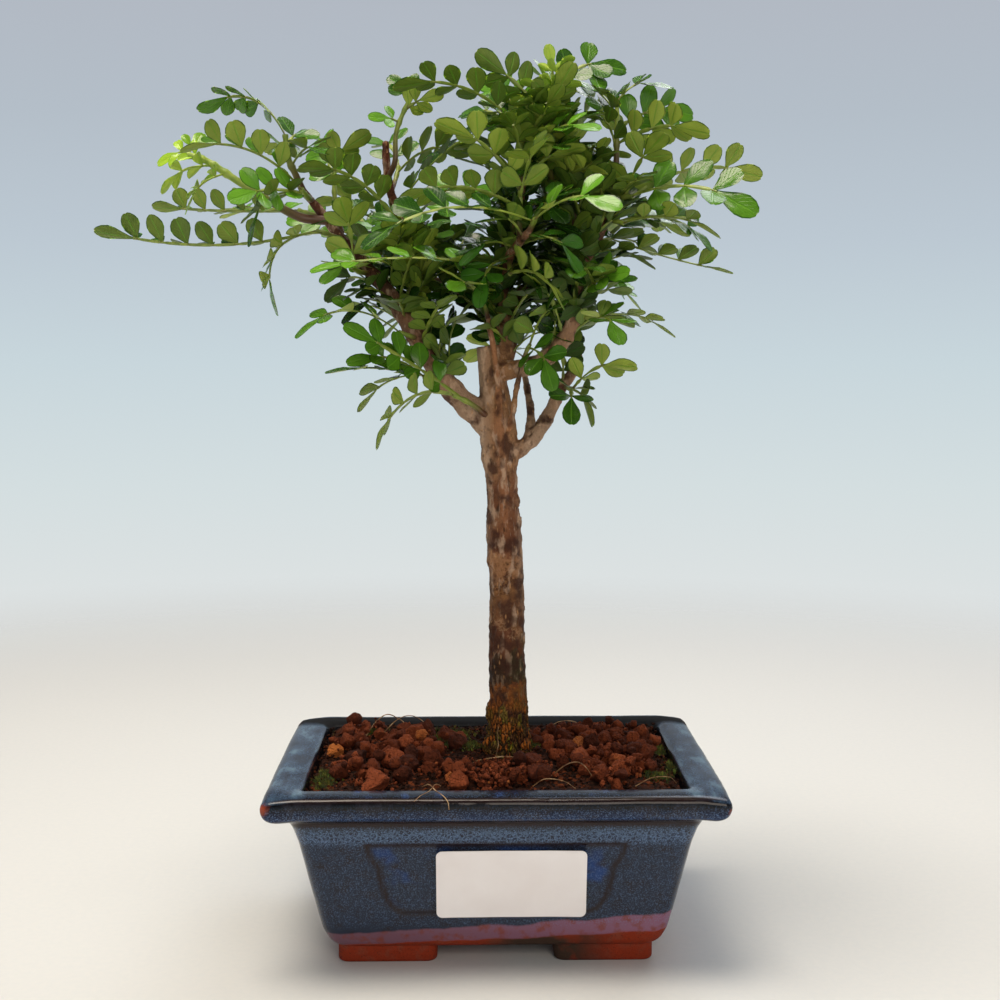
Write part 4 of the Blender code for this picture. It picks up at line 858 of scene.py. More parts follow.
# Name, radius, share of the stem without leaves, places that it passes, and its leaves. A leaf is
# its tip, arch, roll in degrees, leaflets' length, and the fold in degrees where it isn't the usual one.
SHOOTS = [
    ("left_reach", 1.2, 0.5, [(-51, -3, 240), (-56, -6, 242), (-60, -7, 243)], [((-72, -20, 213), 12, 30, 9),
        ((-133, -12, 243), -5, 35, 9.5, 50)]),
    ("left_young", 1.9, 0.62, [(-57, -1, 247), (-66, -3, 248), (-77, -3, 254), (-86, -4, 259.5),
        (-97, -4, 266.5), (-104, -4, 268.5)], [((-103, -13, 248), 3, 20, 7), ((-111, -12, 255), 3, 35, 7),
        ((-114, -1, 266), 3, -55, 6.5), ((-99, 3, 277), 1, 30, 5.5)]),
    ("left_top", 1.5, 0.3, [(-65, 0, 257), (-67, -3, 262), (-69.5, -5, 268), (-70, -6, 275)],
        [((-54, -22, 267), 4, 10, 9.5), ((-78, 12, 272), 4, 22, 9.5), ((-60, 8, 277), 3, 35, 9.5),
        ((-102, 0, 279), 9, -150, 8.5)]),
    ("left_front", 1.3, 0.4, [(-62, 0, 254), (-62.5, -8, 254), (-64, -13, 256)],
        [((-80, -28, 236), 8, 25, 9.5), ((-84, -36, 250), 2, -50, 9), ((-102, -26, 267), 7, 15, 9, 55)]),
    ("left_back", 1.2, 0.5, [(-57, 1, 248), (-63, 8, 250), (-68, 13, 252)], [((-100, 44, 253), 2, -10, 9),
        ((-122, 28, 255), -1, 35, 8.5, 50)]),
    ("left_high", 1.2, 0.4, [(-52, 0, 243), (-54, 4, 250), (-55, 7, 258), (-55, 8, 265)],
        [((-64, 30, 278), 4, -50, 9), ((-43, 8, 278), 3, -60, 8.5)]),
    ("left_under", 1.2, 0.5, [(-42, -5, 229), (-45, -11, 229), (-47, -14, 230)],
        [((-56, -26, 225), 3, -10, 8.5), ((-50, -30, 252), 4, 22, 9.5)]),
    ("trunk_left", 1.3, 0.4, [(-3, -4.5, 181), (-8, -9, 185), (-14, -11, 188)],
        [((-49, -27, 211), 1, -60, 9), ((-39, -40, 171), 8, 60, 8.5)]),
    ("limb_left", 1.3, 0.4, [(-18, -3, 195), (-21, -8, 194), (-24, -10, 194)],
        [((-48, 10, 182), 5, -10, 8.5), ((-57, -14, 193), 2, -10, 9), ((-49, -20, 199), 4, -40, 8.5)]),
    ("limb_front", 1.2, 0.5, [(-26, -5, 207), (-29, -11, 208), (-32, -13, 209)],
        [((-66, -24, 207), 8, -12, 9)]),
    ("fork_low", 1.2, 0.5, [(-28, 5, 226), (-30, 11, 228), (-31, 14, 229)], [((-6, 34, 240), 6, -18, 9.5),
        ((-60, 36, 232), 7, -55, 9.5)]),
    ("fork_front", 1.2, 0.5, [(-31, 6, 242), (-33, -1, 246), (-34, -5, 248)], [((-64, -26, 262), 6, 30, 9.5),
        ((2, -22, 277), 5, 20, 9.5)]),
    ("fork_back", 1.2, 0.5, [(-35, 3, 258), (-34, 9, 262), (-33, 12, 267)], [((-8, 26, 274), 5, -45, 9.5),
        ((-42, 36, 278), 4, -18, 9.5)]),
    ("fork_top", 1.2, 0.5, [(-36, 1.5, 262), (-33.5, -2, 267), (-33, -1, 277), (-28, -1, 289)],
        [((-42, -6, 281), 1, -60, 6), ((-17, -5, 289), 1, -60, 6.5), ((-36, 3, 296), 1, -60, 6.5)]),
    ("centre_top", 1.4, 0.4, [(9, -8, 253), (9.5, -8, 262), (9, -8, 270), (9, -8, 277)],
        [((36, -26, 275), 5, 25, 9.5), ((-12, 16, 286), 5, -40, 9.5), ((-34, -16, 289), 7, 30, 9.5)]),
    ("crown", 1.4, 0.6, [(24, 8, 253), (20.5, 3, 259), (18.5, -2, 266), (17.5, -4, 275), (17, -4, 283)],
        [((-4, 24, 298), 4, -55, 9.5), ((26, -12, 298), 2, -30, 9.5), ((-6, -8, 302), 1, 75, 9)]),
    ("crown_back", 1.3, 0.5, [(26, 2, 243), (28, 0, 249), (25.5, 3, 260), (23.5, 5, 272), (23, 6, 285),
        (23, 6, 296)], [((46, 28, 284), 5, -45, 9.5), ((14, 3, 302), 1, -35, 6),
        ((46, 10, 300), 4, 60, 9.5)]),
    ("right_top", 1.3, 0.25, [(42, 3, 262), (42, 2.5, 270), (42, 2, 279), (42, 2, 288)],
        [((72, -12, 275), 4, -50, 9.5), ((70, 12, 285), 4, 80, 9.5), ((24, -4, 294), 3, -25, 9.5),
        ((60, -2, 292), 4, 20, 8.5)]),
    ("right_tuft", 1.3, 0.5, [(41, 3, 255), (44, -1, 255), (47, -3, 255)], [((56, -20, 274), 3, -35, 9.5),
        ((85, -27, 247), 6, 55, 12), ((94, 12, 264), 6, -50, 9.5)]),
    ("right_droop", 1.2, 0.5, [(38, 2, 247), (41, -2, 247), (44, -4, 246)], [((77, 8, 238), 6, 45, 8.5),
        ((74, -24, 240), 4, -20, 9)]),
    ("right_back", 1.2, 0.5, [(35, 1, 240), (38, 6, 241), (41, 9, 242)], [((66, 42, 248), 6, 35, 9.5),
        ((85, 16, 231), -1, 0, 8.5, 50)]),
    ("right_small", 1.1, 0.5, [(28, -2, 232), (31, 4, 231), (33, 7, 230)], [((48, 26, 223), 3, 60, 9)]),
    ("right_low", 1.2, 0.5, [(27, -8, 214), (31, -11, 214), (34, -12, 213)], [((62, -6, 208), 4, 5, 8.5, 10),
        ((40, -36, 205), 4, 0, 9)]),
    ("right_front", 1.2, 0.5, [(28, -7, 220), (31, -13, 223), (33, -16, 225)], [((43, -28, 228), 2, 60, 8.5),
        ((24, -44, 226), 4, -18, 9.5)]),
    ("low_end", 1.2, 0.5, [(29, 8, 207), (30, 9, 211), (31, 10, 214)], [((53, 22, 213), 3, 30, 9)]),
    ("low_front", 1.1, 0.5, [(24, 4, 191), (26, -1, 190), (27, -4, 190)], [((34, -9, 178), 3, -60, 8.5),
        ((25, -26, 179), 4, -10, 8.5), ((48, -14, 198), 4, -45, 8.5)]),
    ("twig", 1.0, 0.5, [(10, -7, 200), (11, -8.5, 203), (12, -10, 205)], [((19, -24, 190), 4, 35, 8.5),
        ((22, -34, 218), 4, 30, 9.5)]),
    ("low_back", 1.1, 0.5, [(11, 18, 196), (11, 20, 199), (11, 22, 201)], [((-10, 46, 200), 5, 25, 9.5)]),
    ("stub", 1.0, 0.5, [(-2.2, -8, 214), (-3, -9.5, 217), (-4, -11, 219)], [((-14, -42, 222), 4, -25, 9.5)]),
    ("front_tip", 1.2, 0.5, [(11, -32, 241), (12, -35, 243), (12.5, -37, 244)],
        [((-41, -60, 233), 8, -25, 10), ((38, -54, 246), 5, 40, 10)]),
    ("front_up", 1.2, 0.5, [(8, -22, 238), (8, -25, 243), (8, -27, 249), (8, -27, 254)],
        [((-32, -38, 249), 6, 35, 9.5), ((12, -50, 269), 4, 27, 10), ((-19, -36, 275), 4, 30, 10)]),
    ("front_low", 1.2, 0.5, [(5, -12, 234), (5, -15, 230), (5, -18, 228)], [((-59, -36, 228), 4, -20, 10),
        ((22, -42, 216), 5, -45, 9.5)]),
    ("back_left_tip", 1.2, 0.5, [(-40, 45, 236), (-43, 47, 238), (-45, 48, 239)],
        [((-60, 60, 262), 4, -35, 9.5), ((-78, 54, 253), 5, -60, 9.5)]),
    ("back_left_up", 1.2, 0.4, [(-28, 36, 232), (-29, 35, 238), (-30, 33, 244), (-30, 32, 250)],
        [((-66, 42, 258), 6, 25, 9.5), ((4, 44, 262), 6, 50, 9.5)]),
    ("back_left_low", 1.2, 0.5, [(-16, 24, 226), (-18, 27, 222), (-19, 29, 220)],
        [((-41, 50, 209), 3, -25, 9.5), ((2, 58, 214), 5, 40, 9.5)]),
    ("back_right_tip", 1.2, 0.5, [(33, 48, 242), (35, 49, 245), (36, 50, 247)],
        [((76, 54, 248), 6, -35, 9.5)]),
    ("back_right_up", 1.2, 0.4, [(20, 26, 230), (20, 25, 238), (20, 25, 246), (20, 25, 254)],
        [((56, 34, 266), 5, 55, 9.5), ((12, 52, 274), 4, 15, 9.5)]),
    ("back_right_low", 1.2, 0.5, [(28, 40, 236), (30, 42, 232), (31, 43, 230)], [((58, 50, 218), 4, 20, 9.5),
        ((16, 64, 226), 4, 45, 9.5)]),
    ("young_tuft", 0.9, 0.2, [(17.2, -4, 282), (18.4, -4.4, 287), (19.2, -4.6, 291)],
        [((9, -8, 293), 2, 25, 5.5), ((29, -8, 292), 2, -30, 5.5), ((13, 4, 299), 2, 40, 5.5),
        ((26, -12, 300), 2, -20, 5.5), ((18, -5, 305), 1, 60, 5.5)]),
]
USUAL_FOLD = 15  # degrees by which leaflets stand up from the plane of the leaf
LAST_BASE = 0.98  # share of the stem where its last leaf stands
SHALLOW_ARC = 8 / 3  # its length over its chord's, less 1, is this times its rise over chord squared
BLADE_THICKNESS = 0.7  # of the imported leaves
MOST_SWING = 6  # a packed leaf's tip lies this near its plan
GOLDEN_ANGLE = math.radians(137.508)
LEAFLET_ANGLE = 62
RIB_BARE = 0.3
END_GAP = 1.4  # from the last pair to the end leaflet
END_LEAFLET = 1.35
WING = 0.8
RIB_DEPTH = 0.32
PAIR_SPACING = 0.84  # of a leaflet's length
# Kinds of leaflet: half width, share of the length at the widest, cup across, droop at the tip, notch
LEAFLETS = [
    (0.35, 0.58, 0.10, 0.06, 0.03), (0.36, 0.60, 0.22, 0.12, 0.04), (0.33, 0.55, -0.06, 0.16, 0.0),
    (0.37, 0.62, 0.14, -0.05, 0.05), (0.27, 0.66, 0.12, 0.10, 0.03), (0.28, 0.60, 0.5, 0.3, 0.0),
]
END_KIND = 4
YOUNG_KIND = 5
ALONG = [0, 0.11, 0.27, 0.45, 0.63, 0.8, 0.93, 1]
LEAFLET_DEPTH = 0.017


def leaflet_mesh(name, half_width, widest, cup, droop, notch):
    """One leaflet of unit length: faces up, root at the origin, thin at its edge."""
    points, faces, marks, under = [], [], [], []
    index_of = {}
    columns = (-1, -0.5, 0, 0.5, 1)
    for side in (1, -1):
        for row, u in enumerate(ALONG):
            if u < widest:
                width = half_width * (0.12 + 0.88 * math.sin(math.pi / 2 * u / widest) ** 1.25)
            else:
                width = half_width * math.cos(math.pi / 2 * (u - widest) / (1.03 - widest)) ** 0.62
            for column, v in enumerate(columns):
                edge = abs(v) == 1 or row in (0, len(ALONG) - 1)
                if edge and side < 0:
                    index_of[side, row, column] = index_of[1, row, column]
                    continue
                x = v * width
                y = u - notch * (1 - abs(v)) * (u > 0.9) - 0.02 * v * v * (row == len(ALONG) - 1)
                z = cup * abs(x) * min(1, 3 * u) - droop * u * u * 0.6 + 0.012 * math.sin(9 * u + 4 * v)
                z += 0 if edge else side * LEAFLET_DEPTH * (1.4 if v == 0 and side < 0 else 1)
                z -= 0.012 * (v == 0 and side > 0)
                index_of[side, row, column] = len(points)
                points.append((x, y, z))
                marks.append((0.5 + 0.5 * v, u))
        for row in range(len(ALONG) - 1):
            for column in range(4):
                face = [index_of[side, row + a, column + b] for a, b in ((0, 0), (0, 1), (1, 1), (1, 0))]
                faces.append(face if side > 0 else face[::-1])
                under.append(side < 0)
    mesh = bpy.data.meshes.new(name)
    mesh.from_pydata(points, [], faces)
    spread = mesh.uv_layers.new(name="spread")
    for loop in mesh.loops:
        spread.data[loop.index].uv = marks[loop.vertex_index]
    mesh.attributes.new("under", "FLOAT", "FACE").data.foreach_set("value", np.array(under, np.float32))
    mesh.shade_smooth()
    return mesh


def scatter_tree():
    """Sets one of a collection's shapes on each point, by the point's kind, turn and reach."""
    tree, add, given, made = new_tree("scatter", [("Shapes", "Collection"), ("Material", "Material")])
    shapes = add("CollectionInfo", {
        "Collection": given["Shapes"], "Separate Children": True, "Reset Children": True})
    kind, turn, reach = (
        add("InputNamedAttribute", {"Name": name}, data_type=sort)
        for name, sort in (("kind", "INT"), ("turn", "FLOAT_VECTOR"), ("reach", "FLOAT_VECTOR")))
    placed = add("InstanceOnPoints", {
        "Points": given["Geometry"], "Instance": shapes, "Pick Instance": True,
        "Instance Index": kind, "Rotation": turn, "Scale": reach})
    apart = add("RealizeInstances", {0: placed})
    feed(made, {0: add("SetMaterial", {"Geometry": apart, "Material": given["Material"]})})
    return tree


def shape_box(name, meshes):
    """A collection of shapes outside the scene, in this order."""
    box = bpy.data.collections.new(name)
    for index, mesh in enumerate(meshes):
        box.objects.link(bpy.data.objects.new(f"{name}_{index:02d}", mesh))
    return box


SCATTER = scatter_tree()


def scattered(rows, shapes, material):
    """A mesh of shapes. Each row is a place in metres, a quaternion, a scale, a kind and a tone."""
    points = bpy.data.meshes.new("points")
    points.from_pydata([row[0] for row in rows], [], [])
    for name, vectors in (("turn", [row[1].to_euler() for row in rows]), ("reach", [row[2] for row in rows])):
        made = points.attributes.new(name, "FLOAT_VECTOR", "POINT")
        made.data.foreach_set("vector", np.array(vectors, np.float32).ravel())
    kinds = points.attributes.new("kind", "INT", "POINT")
    kinds.data.foreach_set("value", np.array([row[3] for row in rows], np.int32))
    set_numbers(points, "tone", [row[4] for row in rows])
    return grown(points, SCATTER, {"Shapes": shapes, "Material": material})


def joined(meshes):
    """One mesh of several, with their materials, attributes and UV maps."""
    bodies = [put("body", mesh) for mesh in meshes]
    chosen = {"selected_editable_objects": bodies, "selected_objects": bodies}
    with bpy.context.temp_override(active_object=bodies[0], **chosen):
        bpy.ops.object.join()
    made = bodies[0].data
    bpy.data.objects.remove(bodies[0])
    return made


def leaf_frame(base, tip, arch, roll):
    """The rib from base to tip, bent by its arch and rolled: what gives places on it, and its length."""
    chord = tip - base
    forward = chord.normalized()
    side = Vector((0, 0, 1)).cross(forward)
    side = side.normalized() if side.length > 0.05 else Vector((1, 0, 0))
    bend = (base + tip) / 2 + 2 * arch * forward.cross(side)
    length = chord.length * (1 + SHALLOW_ARC * (arch / chord.length) ** 2)
    side = Quaternion(forward, math.radians(roll)) @ side

    def at(distance):
        """Place, forward, left and up on the rib at this distance from its base."""
        t = distance / length
        point = base * (1 - t) ** 2 + bend * 2 * t * (1 - t) + tip * t ** 2
        ahead = ((bend - base) * (1 - t) + (tip - bend) * t).normalized()
        left = (side - ahead * side.dot(ahead)).normalized()
        return point, ahead, left, ahead.cross(left)

    return at, length


def stem_point(path, share):
    lengths = [(end - start).length for start, end in zip(path, path[1:])]
    left = share * sum(lengths)
    for start, end, length in zip(path, path[1:], lengths):
        if left <= length:
            return start.lerp(end, left / length)
        left -= length
    return path[-1].copy()


def turned(along, normal):
    """The turn that lays a leaflet along one direction with its face towards another."""
    across = along.cross(normal).normalized()
    return Matrix((across, along, across.cross(along))).transposed().to_quaternion()


def grow_leaf(draw, young, base, tip, arch, roll, size, fold=USUAL_FOLD):
    """Rows for the leaflets, and the rings of the winged rib with the share of each that is woody."""
    at, length = leaf_frame(base, tip, arch, roll)
    rib = length - END_LEAFLET * size
    first = RIB_BARE * rib
    pairs = max(1, 1 + round((rib - END_GAP - first) / (PAIR_SPACING * size)))
    if pairs == 1:
        first = 0.8 * rib
    spacing = (rib - END_GAP - first) / max(pairs - 1, 1)
    places = [first + spacing * index for index in range(pairs)]
    tone = draw.uniform(0.0, 1.0)
    rows = []
    for pair, distance in enumerate(places):
        point, ahead, left, up = at(distance)
        grown_share = 0.86 + 0.14 * math.sin(math.pi * (pair + 1) / (pairs + 1))
        for hand in (-1, 1):
            bent = math.radians(fold + draw.normal(0, 7))
            angle = math.radians(LEAFLET_ANGLE + draw.normal(0, 5) - 6 * pair / pairs)
            outward = hand * left * math.cos(bent) + up * math.sin(bent)
            along = ahead * math.cos(angle) + outward * math.sin(angle)
            normal = Quaternion(along, draw.normal(0, 0.2)) @ (hand * ahead.cross(outward))
            long = size * grown_share * draw.uniform(0.92, 1.06)
            kind = YOUNG_KIND if young else int(draw.integers(0, 4))
            reach = (long * MM * draw.uniform(0.92, 1.08), long * MM, long * MM)
            rows.append((
                place(point + outward * 0.3), turned(along, normal), reach, kind, tone + draw.normal(0, 0.1)))
    point, ahead, _, up = at(rib)
    end_length = (length - rib) * 1.02
    turn = turned(at(rib + end_length / 2)[1], up)
    rows.append((place(point), turn, (end_length * MM,) * 3, END_KIND, tone + 0.05))
    path, flat, widths = [], [], []
    for distance in np.arange(0, rib + 0.6, 1.0):
        point, ahead, left, up = at(min(distance, rib))
        ahead_of = min((place_at - distance for place_at in places if place_at >= distance - 0.5), default=9)
        broad = smooth_step(0.2, 1.6, ahead_of) * smooth_step(first * 1.6, first * 0.5, abs(ahead_of))
        wing = WING * (0.42 + 0.58 * broad)
        path.append(point)
        flat.append((left, RIB_DEPTH + 0.12 * (abs(ahead_of) < 0.6)))
        widths.append(wing if distance > 2 else 0.55)
    joints = [0.6 * (index < 2) + 0.35 * (high > RIB_DEPTH) for index, (_, high) in enumerate(flat)]
    return rows, list(zip(tube(path, widths, 6, flat), joints))


def leaf_blade(name, old, fresh, below, light_through):
    """Leathery living leaf: glossy with oil dots above, matt and paler below, and light comes through."""
    made, add, shader = finish(name)
    where = add("TexCoord").outputs["Object"]
    spread = add("UVMap", uv_map="spread")
    across, along, _ = add("SeparateXYZ", {0: spread}).outputs
    across = add("Math", {0: across, 1: 0.5}, operation="SUBTRACT")
    across = add("Math", {0: across}, operation="ABSOLUTE")
    tone, under = (add("Attribute", attribute_name=name).outputs["Fac"] for name in ("tone", "under"))
    cloud = add("TexNoise", {"Vector": where, "Scale": 180, "Detail": 3})
    share = add("Math", {0: cloud, 1: 0.6, 2: tone}, operation="MULTIPLY_ADD")
    share = add("MapRange", {0: share, 1: 0.3, 2: 1.3})
    # Seven side veins run forward from the midrib; oil dots of 0.3 mm lie between them
    vein = add("Math", {0: across, 1: -0.75, 2: along}, operation="MULTIPLY_ADD")
    vein = add("Math", {0: vein, 1: 7 * math.tau}, operation="MULTIPLY")
    vein = add("Math", {0: vein}, operation="SINE")
    vein = add("MapRange", {0: vein, 1: 0.8, 2: 1.0, 4: 0.3})
    midrib = add("MapRange", {0: across, 1: 0.06, 2: 0.02}, interpolation_type="SMOOTHSTEP")
    veins = add("Math", {0: vein, 1: midrib}, operation="MAXIMUM")
    dots = add("TexVoronoi", {"Vector": where, "Scale": 1500})
    colour = coated(add, old, [
        (share, None, fresh),
        (under, None, coated(add, below[0], [(share, None, below[1])])),
        (dots, (0.28, 0.15, 0.3), fresh),
        (across, (0.41, 0.47, 0.9), old),
        (veins, (0, 1, 0.55), fresh),
    ])
    relief = add("Math", {0: cloud, 1: 0.5}, operation="MULTIPLY")
    relief = add("Math", {0: relief, 1: veins}, operation="SUBTRACT")
    feed(shader, {
        "Base Color": colour,
        "Roughness": add("MapRange", {0: under, 3: 0.18, 4: 0.5}),
        "Normal": add("Bump", {"Height": relief, "Distance": 0.25 * MM, "Strength": 0.6}),
        "IOR": 1.45,
        "Specular IOR Level": 0.35,
        "Subsurface Weight": light_through,
        "Subsurface Radius": (0.9, 1.0, 0.25),
        "Subsurface Scale": 0.12 * MM,
    })
    return made


def green_stem(name, light, dark):
    """Soft stem and winged rib: waxy yellow-green, brown at joints and where it turns woody."""
    made, add, shader = finish(name)
    where = add("TexCoord").outputs["Object"]
    cloud = add("TexNoise", {"Vector": where, "Scale": 320, "Detail": 3})
    colour = add("ValToRGB", {0: cloud}, [(0.35, dark), (0.65, light)])
    woody = add("Attribute", attribute_name="woody").outputs["Fac"]
    feed(shader, {
        "Base Color": coated(add, colour, [(woody, None, "#5a3a26")]),
        "Roughness": 0.45,
        "Normal": add("Bump", {"Height": cloud, "Distance": 0.2 * MM, "Strength": 0.5}),
        "Subsurface Weight": 0.3,
        "Subsurface Radius": (0.9, 1.0, 0.3),
        "Subsurface Scale": 0.5 * MM,
    })
    return made


LEAFLET_BOX = shape_box("leaflet", [
    leaflet_mesh(f"leaflet_{index}", *kind) for index, kind in enumerate(LEAFLETS)])
GREEN_LEAF = leaf_blade("pepper leaf", "#1a410b", "#629826", ("#546b1e", "#a5b646"), 0.35)
# The darker leaf, for inner leaves low in the crown: older leaves, and painted shade inside the crown
SHADED_OLD_LEAF = leaf_blade("old pepper leaf in painted shade", "#112c08", "#38681a", ("#344c12", "#6c832c"), 0.25)
YOUNG_LEAF = leaf_blade("young pepper leaf", "#6f9e26", "#a9cc3c", ("#8aa838", "#b4cc50"), 0.5)
GREEN_STEM = green_stem("green stem", "#8a9a3a", "#6b7f2c")
YOUNG_STEM = green_stem("young stem", "#9fb342", "#7d9a30")


def add_shape(shape, rings):
    """Lofts rings into a bmesh, with the share of each ring that is woody."""
    corners = [shape.verts.new(place(point)) for ring, _ in rings for point in ring]
    woody = shape.verts.layers.float["woody"]
    sides = len(rings[0][0])
    for index, corner in enumerate(corners):
        corner[woody] = rings[index // sides][1]
    for start in range(0, len(corners) - sides, sides):
        for side in range(sides):
            beside = (side + 1) % sides
            shape.faces.new((corners[start + side], corners[start + beside],
                             corners[start + sides + beside], corners[start + sides + side]))
    shape.faces.new(corners[:sides][::-1])
    shape.faces.new(corners[-sides:])


def tip_of(node, base, tip):
    """Where a leaf ends in its packed shoot: the end of a blade that is as far from the leaf's base."""
    reach = (tip - base).length
    points = np.unique(places_of(node.data).round(3), axis=0)
    away = np.abs(np.linalg.norm(points - np.array(base), axis=1) - reach)
    near = points[away < BLADE_THICKNESS / 2]
    found, best = tip, MOST_SWING
    for index, corner in enumerate(near):
        beside = near[index + 1:]
        for other in beside[np.abs(np.linalg.norm(beside - corner, axis=1) - BLADE_THICKNESS) < 0.01]:
            middle = Vector((corner + other) / 2)
            if abs((middle - base).length - reach) < 0.02 and (middle - tip).length < best:
                found, best = middle, (middle - tip).length
    return found


def shoot_mesh(draw, blade, radius, points, leaves):
    """A stem with its leaves. A leaf is its base and tip, arch, roll, leaflet length and perhaps fold."""
    young = blade is YOUNG_LEAF
    path = [Vector(point) for point in smooth_path(points, 0.8)] if points else []
    green = bmesh.new()
    green.verts.layers.float.new("woody")
    radii = []
    for index, point in enumerate(path):
        share = index / (len(path) - 1)
        knot = max(math.exp(-((point - base).length / 1.1) ** 2) for base, *_ in leaves)
        radii.append(radius * (1 - 0.4 * share) * (0.86 + 0.3 * knot))
    woody = [smooth_step(0.75, 0.1, index / len(path)) for index in range(len(path))]
    if path:
        add_shape(green, list(zip(tube(path, radii, 8), woody)))
    rows = []
    for leaf in leaves:
        leaflets, rings = grow_leaf(draw, young, *leaf)
        rows += leaflets
        add_shape(green, rings)
    stems = drawn("stems", green)
    stems.materials.append(YOUNG_STEM if young else GREEN_STEM)
    return joined([scattered(rows, LEAFLET_BOX, blade), stems])


for seed, (name, radius, bare, points, plan) in enumerate(SHOOTS):
    stem = [Vector(point) for point in points]
    node = frame["nodes"].get(f"shoot_{name}")
    leaves = []
    for index, (tip, *form) in enumerate(plan):
        base = stem_point(stem, bare + (LAST_BASE - bare) * (index + 1) / len(plan))
        leaves.append((base, tip_of(node, base, Vector(tip)) if node else Vector(tip), *form))
    blade, slot = (YOUNG_LEAF, "young_leaf") if "young" in name else (GREEN_LEAF, "leaf")
    mesh = shoot_mesh(np.random.default_rng(seed), blade, radius, points, leaves)
    piece(f"leaves_{name}", mesh, None, slot, *([f"shoot_{name}"] if node else []), angle=75)

# The inner leaves
# Short leaves on the limbs themselves, which fill the crown behind the long shoots. They stand
# round each limb at the golden angle, as buds do.

# What they stand on, and the shares of its length where they start and end
LEAFY_WOOD = {
    "left": (0.1, 0.62), "left_fork": (0.1, 0.6), "right": (0.3, 0.98), "right_fork": (0.2, 0.98),
    "centre": (0.05, 0.98), "low_right": (0.6, 0.98), "back_left": (0.02, 0.98), "back_right": (0.02, 0.98),
    "front": (0.2, 0.98), "centre_top": (0.1, 0.98), "crown": (0.1, 0.98), "crown_back": (0.2, 0.98),
    "right_top": (0.1, 0.98),
}
BUD_SPACING = 2
CROWN_MIDDLE = Vector((0, 0, 244))
CROWN_REACH = (66, 52, 52)
INNER_REACH = (16, 32)
INNER_SIZE = (8, 9.5)
# No leaf hangs in front of the trunk: half width, upper end and back of the place kept open
OPEN_HALF = 9
OPEN_TOP = 208
OPEN_BACK = 8
# Inner leaves on lower wood take the darker leaf: older, and painted darker as shade inside the crown
HIGH_WOOD = 265  # leaves on wood that ends above this are younger and brighter

WOOD = {name: (start, points) for name, start, _, points in LIMBS}
WOOD.update((name, (radius, points)) for name, radius, _, points, _ in SHOOTS)
for seed, (name, (first, last)) in enumerate(LEAFY_WOOD.items()):
    draw = np.random.default_rng(seed + 60)
    start, points = WOOD[name]
    path = [Vector(point) for point in smooth_path(points, 1.0)]
    leaves = []
    for count, index in enumerate(range(round(first * len(path)), round(last * len(path)) - 1, BUD_SPACING)):
        along = (path[index + 1] - path[index - 1]).normalized()
        around = Quaternion(along, GOLDEN_ANGLE * count + seed) @ along.orthogonal().normalized()
        direction = (around + along * draw.uniform(0.2, 0.8)).normalized()
        base = path[index] + around * start * 0.5
        tip = base + direction * draw.uniform(*INNER_REACH)
        form = draw.uniform(2, 6), draw.uniform(-30, 30), draw.uniform(*INNER_SIZE)
        over_trunk = any(
            abs(spot.x) < OPEN_HALF and spot.z < OPEN_TOP and spot.y < OPEN_BACK
            for spot in (tip, (base + tip) / 2))
        outside = sum(((tip - CROWN_MIDDLE)[axis] / CROWN_REACH[axis]) ** 2 for axis in range(3)) > 1
        if not over_trunk and not outside:
            leaves.append((base, tip, *form))
    blade = GREEN_LEAF if points[-1][2] > HIGH_WOOD else SHADED_OLD_LEAF
    piece(f"inner_leaves_{name}", shoot_mesh(draw, blade, 0, [], leaves), None, "leaf", angle=75)

# The gravel
# Red lava gravel and its grit, strewn on the soil by hand to left and right of the trunk, with a
# thinner spill in front of it.

# Node, middle x and y, half length and half width, and how many lumps, stones, chips and grains
GRAVEL_BEDS = [
    ("gravel_left", -37, 3, 21, 38, (34, 20, 30, 200)),
    ("gravel_right", 37, 5, 21, 35, (26, 50, 60, 220)),
    ("gravel_front", 0, -27, 18, 12, (6, 10, 34, 260)),
]
GRAVEL_RADII = [(3.2, 5.0), (2.0, 3.0), (1.0, 1.6), (0.4, 0.8)]
GRAVEL_TOP = 67.4
CHIPS_LOWER = 2.2  # chips and grains stay this far under the top
STONE_RISE = 0.35  # of its radius, a stone's middle over the soil
STONE_SETTLING = 0.86  # of their radii, the least distance of two
STONE_TRIES = 12
CLEAR_OF_TRUNK = 10.5
STONE_KINDS = 6
BROKEN_FACES = 9


def stone_mesh(name, seed, subdivisions):
    """A lump of unit radius with broken faces and blunt corners."""
    body = bmesh.new()
    bmesh.ops.create_icosphere(body, subdivisions=subdivisions, radius=1)
    draw = np.random.default_rng(seed)
    planes = [
        (Vector(draw.normal(size=3)).normalized(), draw.uniform(0.55, 0.8)) for _ in range(BROKEN_FACES)]
    for corner in body.verts:
        for normal, depth in planes:
            beyond = corner.co.dot(normal) - depth
            if beyond > 0:
                corner.co -= normal * beyond * 0.9
        away = corner.co.normalized()
        lumpy = 0.15 * noise.noise(corner.co * 1.7 + Vector((seed, 0, 0)))
        lumpy = lumpy + 0.1 * noise.noise(corner.co * 3.7) + 0.07 * noise.noise(corner.co * 8)
        corner.co += away * lumpy
    mesh = drawn(name, body)
    mesh.shade_smooth()
    return mesh


